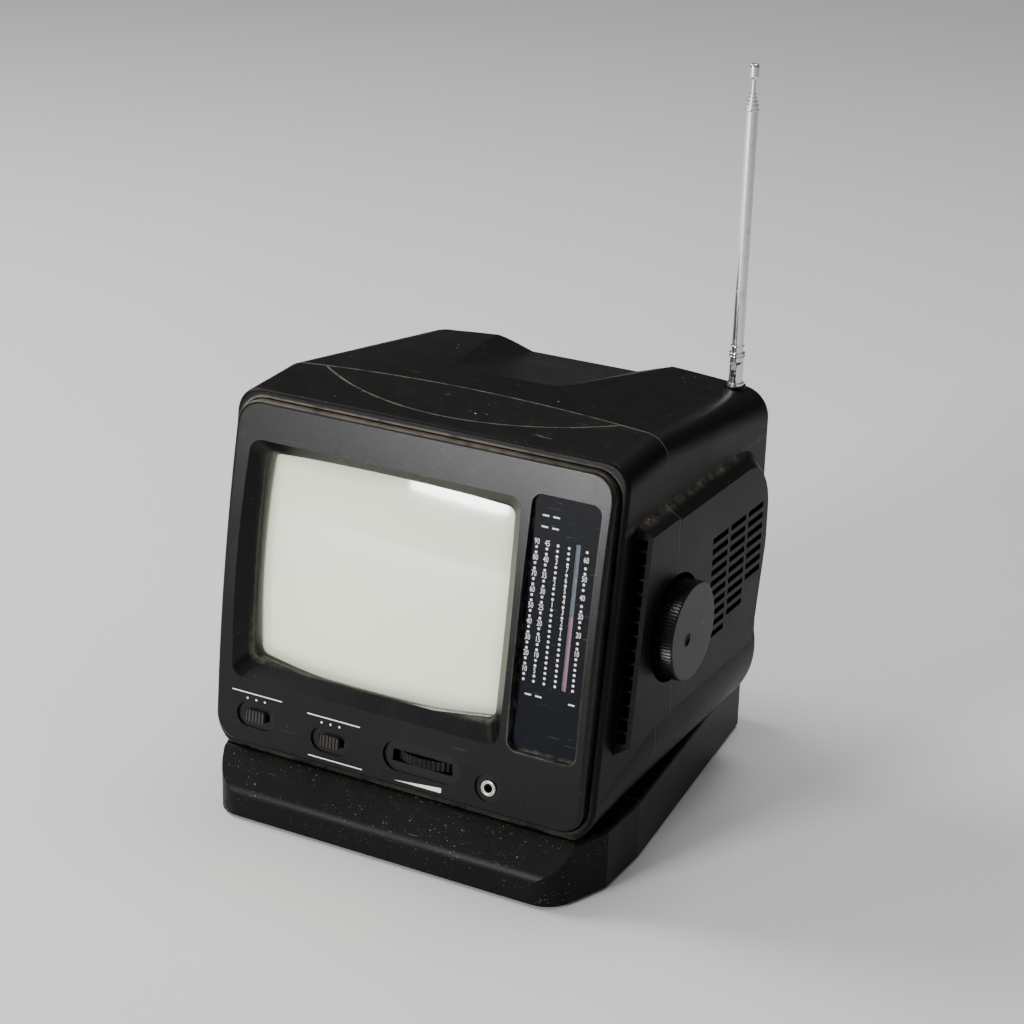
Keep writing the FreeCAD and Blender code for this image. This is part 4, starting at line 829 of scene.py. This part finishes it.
@dataclass
class Controls:
    """Buttons, socket ring and the marks beside them."""

    finishes: Finishes

    def build(self) -> None:
        """Dress the controls and print their marks."""
        self.finishes.dress("button_plastic", "power_button", "band_button")
        self.finishes.dress("nickel_ring", "earphone_jack")
        white = self.finishes.made["print_white"]
        dots = Repeater("position_dots", Face.DOT, white)
        place = PLACES.panel_matrix()
        meshes = []
        for u, v in ((-61.8, 19.2), (-27.7, 17.6)):
            where = place @ Matrix.Translation(((u - 4.0) * MM, v * MM, self.face(v)))
            meshes.append(dots.mesh(3, (4.0 * MM, 0, 0), (0.9 * MM, 0.9 * MM, 0.06 * MM), where))
        bars = Repeater("position_bars", Face.BAR, white)
        for left, right, v in ((-73.0, -50.0, 21.4), (-38.3, -14.6, 19.8), (-37.3, -13.0, 2.9)):
            spot = ((left + right) / 2 * MM, v * MM, self.face(v))
            size = ((right - left) * MM, 0.42 * MM, 0.05 * MM)
            meshes.append(bars.mesh(1, (0, 0, 0), size, place @ Matrix.Translation(spot)))
        meshes.append(self.wedge())
        mesh_piece("panel_print", joined(meshes, "panel_print"), white, "cabinet")
        self.socket_ring()

    @staticmethod
    def face(v: float) -> float:
        """Height of the convex panel face at v millimetres, in metres."""
        radius = (PANEL_HEIGHT ** 2 / 4 + PANEL_BULGE ** 2) / (2 * PANEL_BULGE)
        rise = math.sqrt(radius ** 2 - (v - PANEL_HEIGHT / 2) ** 2) - (radius - PANEL_BULGE)
        return (rise + 0.01) * MM

    def wedge(self) -> bpy.types.Mesh:
        """Rising wedge under the volume wheel."""
        shape = bmesh.new()
        outline = ((1.4, 2.6), (21.9, 2.6), (21.9, 4.6))
        low = [shape.verts.new((u * MM, v * MM, self.face(v))) for u, v in outline]
        base = shape.faces.new(low)
        made = bmesh.ops.extrude_face_region(shape, geom=[base])
        tops = [part for part in made["geom"] if isinstance(part, bmesh.types.BMVert)]
        bmesh.ops.translate(shape, verts=tops, vec=(0, 0, 0.05 * MM))
        bmesh.ops.recalc_face_normals(shape, faces=shape.faces)
        mesh = bpy.data.meshes.new("wedge")
        shape.to_mesh(mesh)
        shape.free()
        mesh.transform(PLACES.panel_matrix())
        return mesh

    def socket_ring(self) -> None:
        """Rounded metal ring round the earphone socket."""
        u, v = 41.6, 9.8
        radius, width, depth, steps = 2.5, 0.4, 0.35, 14
        profile = []
        for i in range(steps):
            a = 2 * math.pi * i / steps
            profile.append(((radius + width * math.cos(a)) * MM, depth * math.sin(a) * MM))
        spot = (u * MM, v * MM, self.face(v) - depth * MM)
        where = PLACES.panel_matrix() @ Matrix.Translation(spot)
        mesh_piece("socket_ring", lathe(profile, where), self.finishes.made["nickel_ring"],
                   "cabinet")


@dataclass
class Aerial:
    """Telescopic aerial with its turned collars."""

    finishes: Finishes

    def build(self) -> None:
        """Dress the sections and add the collars."""
        sections = ["aerial_section_%d" % i for i in range(1, 6)]
        self.finishes.dress("chrome", "aerial_post", "aerial_knuckle", *sections)
        low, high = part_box("aerial_section_1")
        axis = Vector(((low[0] + high[0]) / 2, (low[1] + high[1]) / 2, low[2]))
        rings = []
        steps = 10
        for height, radius in ((0.4, 3.0), (1.6, 3.0), (4.6, 2.52), (97.6, 2.48)):
            profile = []
            for i in range(steps):
                a = 2 * math.pi * i / steps
                profile.append(((radius - 0.1 + 0.28 * math.cos(a)) * MM,
                                (height + 0.4 * math.sin(a)) * MM))
            rings.append(lathe(profile, Matrix.Translation(axis)))
        mesh = joined(rings, "aerial_collars")
        mesh.shade_smooth()
        mesh_piece("aerial_collars", mesh, self.finishes.made["chrome"], "aerial_arm")


@dataclass
class Insides:
    """Picture tube and everything behind it."""

    finishes: Finishes

    def build(self) -> None:
        """Dress the inner pieces."""
        dress = self.finishes.dress
        dress("screen_glass", "picture_tube")
        dress("inner_plastic", "tuning_shaft", "tuning_control", "pointer_guide", "tube_socket",
              "power_switch", "band_switch", "volume_control", "trimmer_controls",
              "power_socket", "aerial_socket", "flyback", "aerial_bracket")
        dress("plated_steel", "tuning_bracket", "tube_band", "tube_screws", "base_screws",
              "cabinet_screws", "board_screws", "tuner", "speaker_basket", "speaker_magnet")
        dress("varnished_coil", "deflection_yoke")
        dress("phenolic_board", "main_board", "control_board")
        dress("bare_aluminium", "capacitors", "heat_sink")
        dress("cone_paper", "speaker_cone")


# ------------------------------------------------------------------ studio
@dataclass
class Studio:
    """Camera, floor and lights.

    Args:
        place: The camera's place from the panel's lower middle, in millimetres.
        right: The camera's own X direction.
        up: The camera's own Y direction.
        ahead: Where the camera looks.
        lens: Focal length in millimetres.
    """

    place: tuple[float, float, float] = (430.87, -711.85, 439.34)
    right: tuple[float, float, float] = (0.87600478, 0.48161699, 0.02570407)
    up: tuple[float, float, float] = (-0.19745043, 0.30949537, 0.93017522)
    ahead: tuple[float, float, float] = (-0.4400329, 0.81991322, -0.36621491)
    lens: float = 86.84

    def build(self) -> None:
        """Make the whole studio."""
        self.camera()
        self.floor()
        self.lights()

    def camera(self) -> None:
        """Camera at the viewing angle, placed from the panel's lower middle."""
        data = bpy.data.cameras.new("camera")
        data.lens = self.lens
        data.sensor_width = 36.0
        data.clip_start = 0.05
        camera = bpy.data.objects.new("camera", data)
        bpy.context.scene.collection.objects.link(camera)
        turn = Matrix((self.right, self.up, [-c for c in self.ahead])).transposed().to_4x4()
        spot = PLACES.origin + Vector(self.place) * MM
        camera.matrix_world = Matrix.Translation(spot) @ turn
        bpy.context.scene.camera = camera

    def floor(self) -> None:
        """Plain pale floor."""
        shape = bmesh.new()
        bmesh.ops.create_grid(shape, x_segments=2, y_segments=2, size=4.0)
        mesh = bpy.data.meshes.new("floor")
        shape.to_mesh(mesh)
        shape.free()
        floor = bpy.data.objects.new("floor", mesh)
        bpy.context.scene.collection.objects.link(floor)
        stuff = PlainStuff("floor_paper", (0.74, 0.74, 0.73), (0.77, 0.77, 0.76), 0.85, 4.0,
                           0.00001)
        mesh.materials.append(stuff.build())

    def lights(self) -> None:
        """Large soft lights and a pale surround."""
        for name, spot, size, power, tint in (
                ("key", (-1.2, -0.1, 1.15), 0.7, 20.0, (1.0, 0.99, 0.97)),
                ("front", (-0.62, -1.85, 0.50), 0.5, 46.0, (1.0, 1.0, 0.99)),
                ("side", (1.2, -0.9, 0.35), 0.25, 0.6, (0.97, 0.98, 1.0)),
                ("top", (0.1, 0.5, 1.5), 0.6, 7.0, (1.0, 1.0, 1.0))):
            data = bpy.data.lights.new(name, "AREA")
            data.shape = "SQUARE"
            data.size = size
            data.energy = power
            data.color = tint
            light = bpy.data.objects.new(name, data)
            bpy.context.scene.collection.objects.link(light)
            aim = Vector((0.0, 0.0, 0.09)) - Vector(spot)
            light.matrix_world = (Matrix.Translation(spot)
                                  @ aim.to_track_quat("-Z", "Y").to_matrix().to_4x4())
        self.surround()

    @staticmethod
    def surround() -> None:
        """Pale overhead that darkens towards the horizon."""
        world = bpy.data.worlds.new("surround")
        world.use_nodes = True
        tree = world.node_tree
        back = tree.nodes["Background"]
        back.inputs[0].default_value = (0.87, 0.88, 0.89, 1)
        where = tree.nodes.new("ShaderNodeTexCoord")
        split = tree.nodes.new("ShaderNodeSeparateXYZ")
        fade = tree.nodes.new("ShaderNodeMapRange")
        tree.links.new(where.outputs["Generated"], split.inputs[0])
        tree.links.new(split.outputs[2], fade.inputs[0])
        for socket, value in ((1, 0.1), (2, 0.95), (3, 0.02), (4, 0.6)):
            fade.inputs[socket].default_value = value
        tree.links.new(fade.outputs[0], back.inputs[1])
        bpy.context.scene.world = world


def main() -> None:
    """Build the studio, then every sub-assembly in order."""
    logging.basicConfig(level=logging.INFO, format="%(message)s")
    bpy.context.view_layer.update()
    Studio().build()
    finishes = Finishes()
    for part in (Cabinet, Dial, Controls, Aerial, Insides):
        part(finishes).build()


if __name__ == "__main__":
    main()
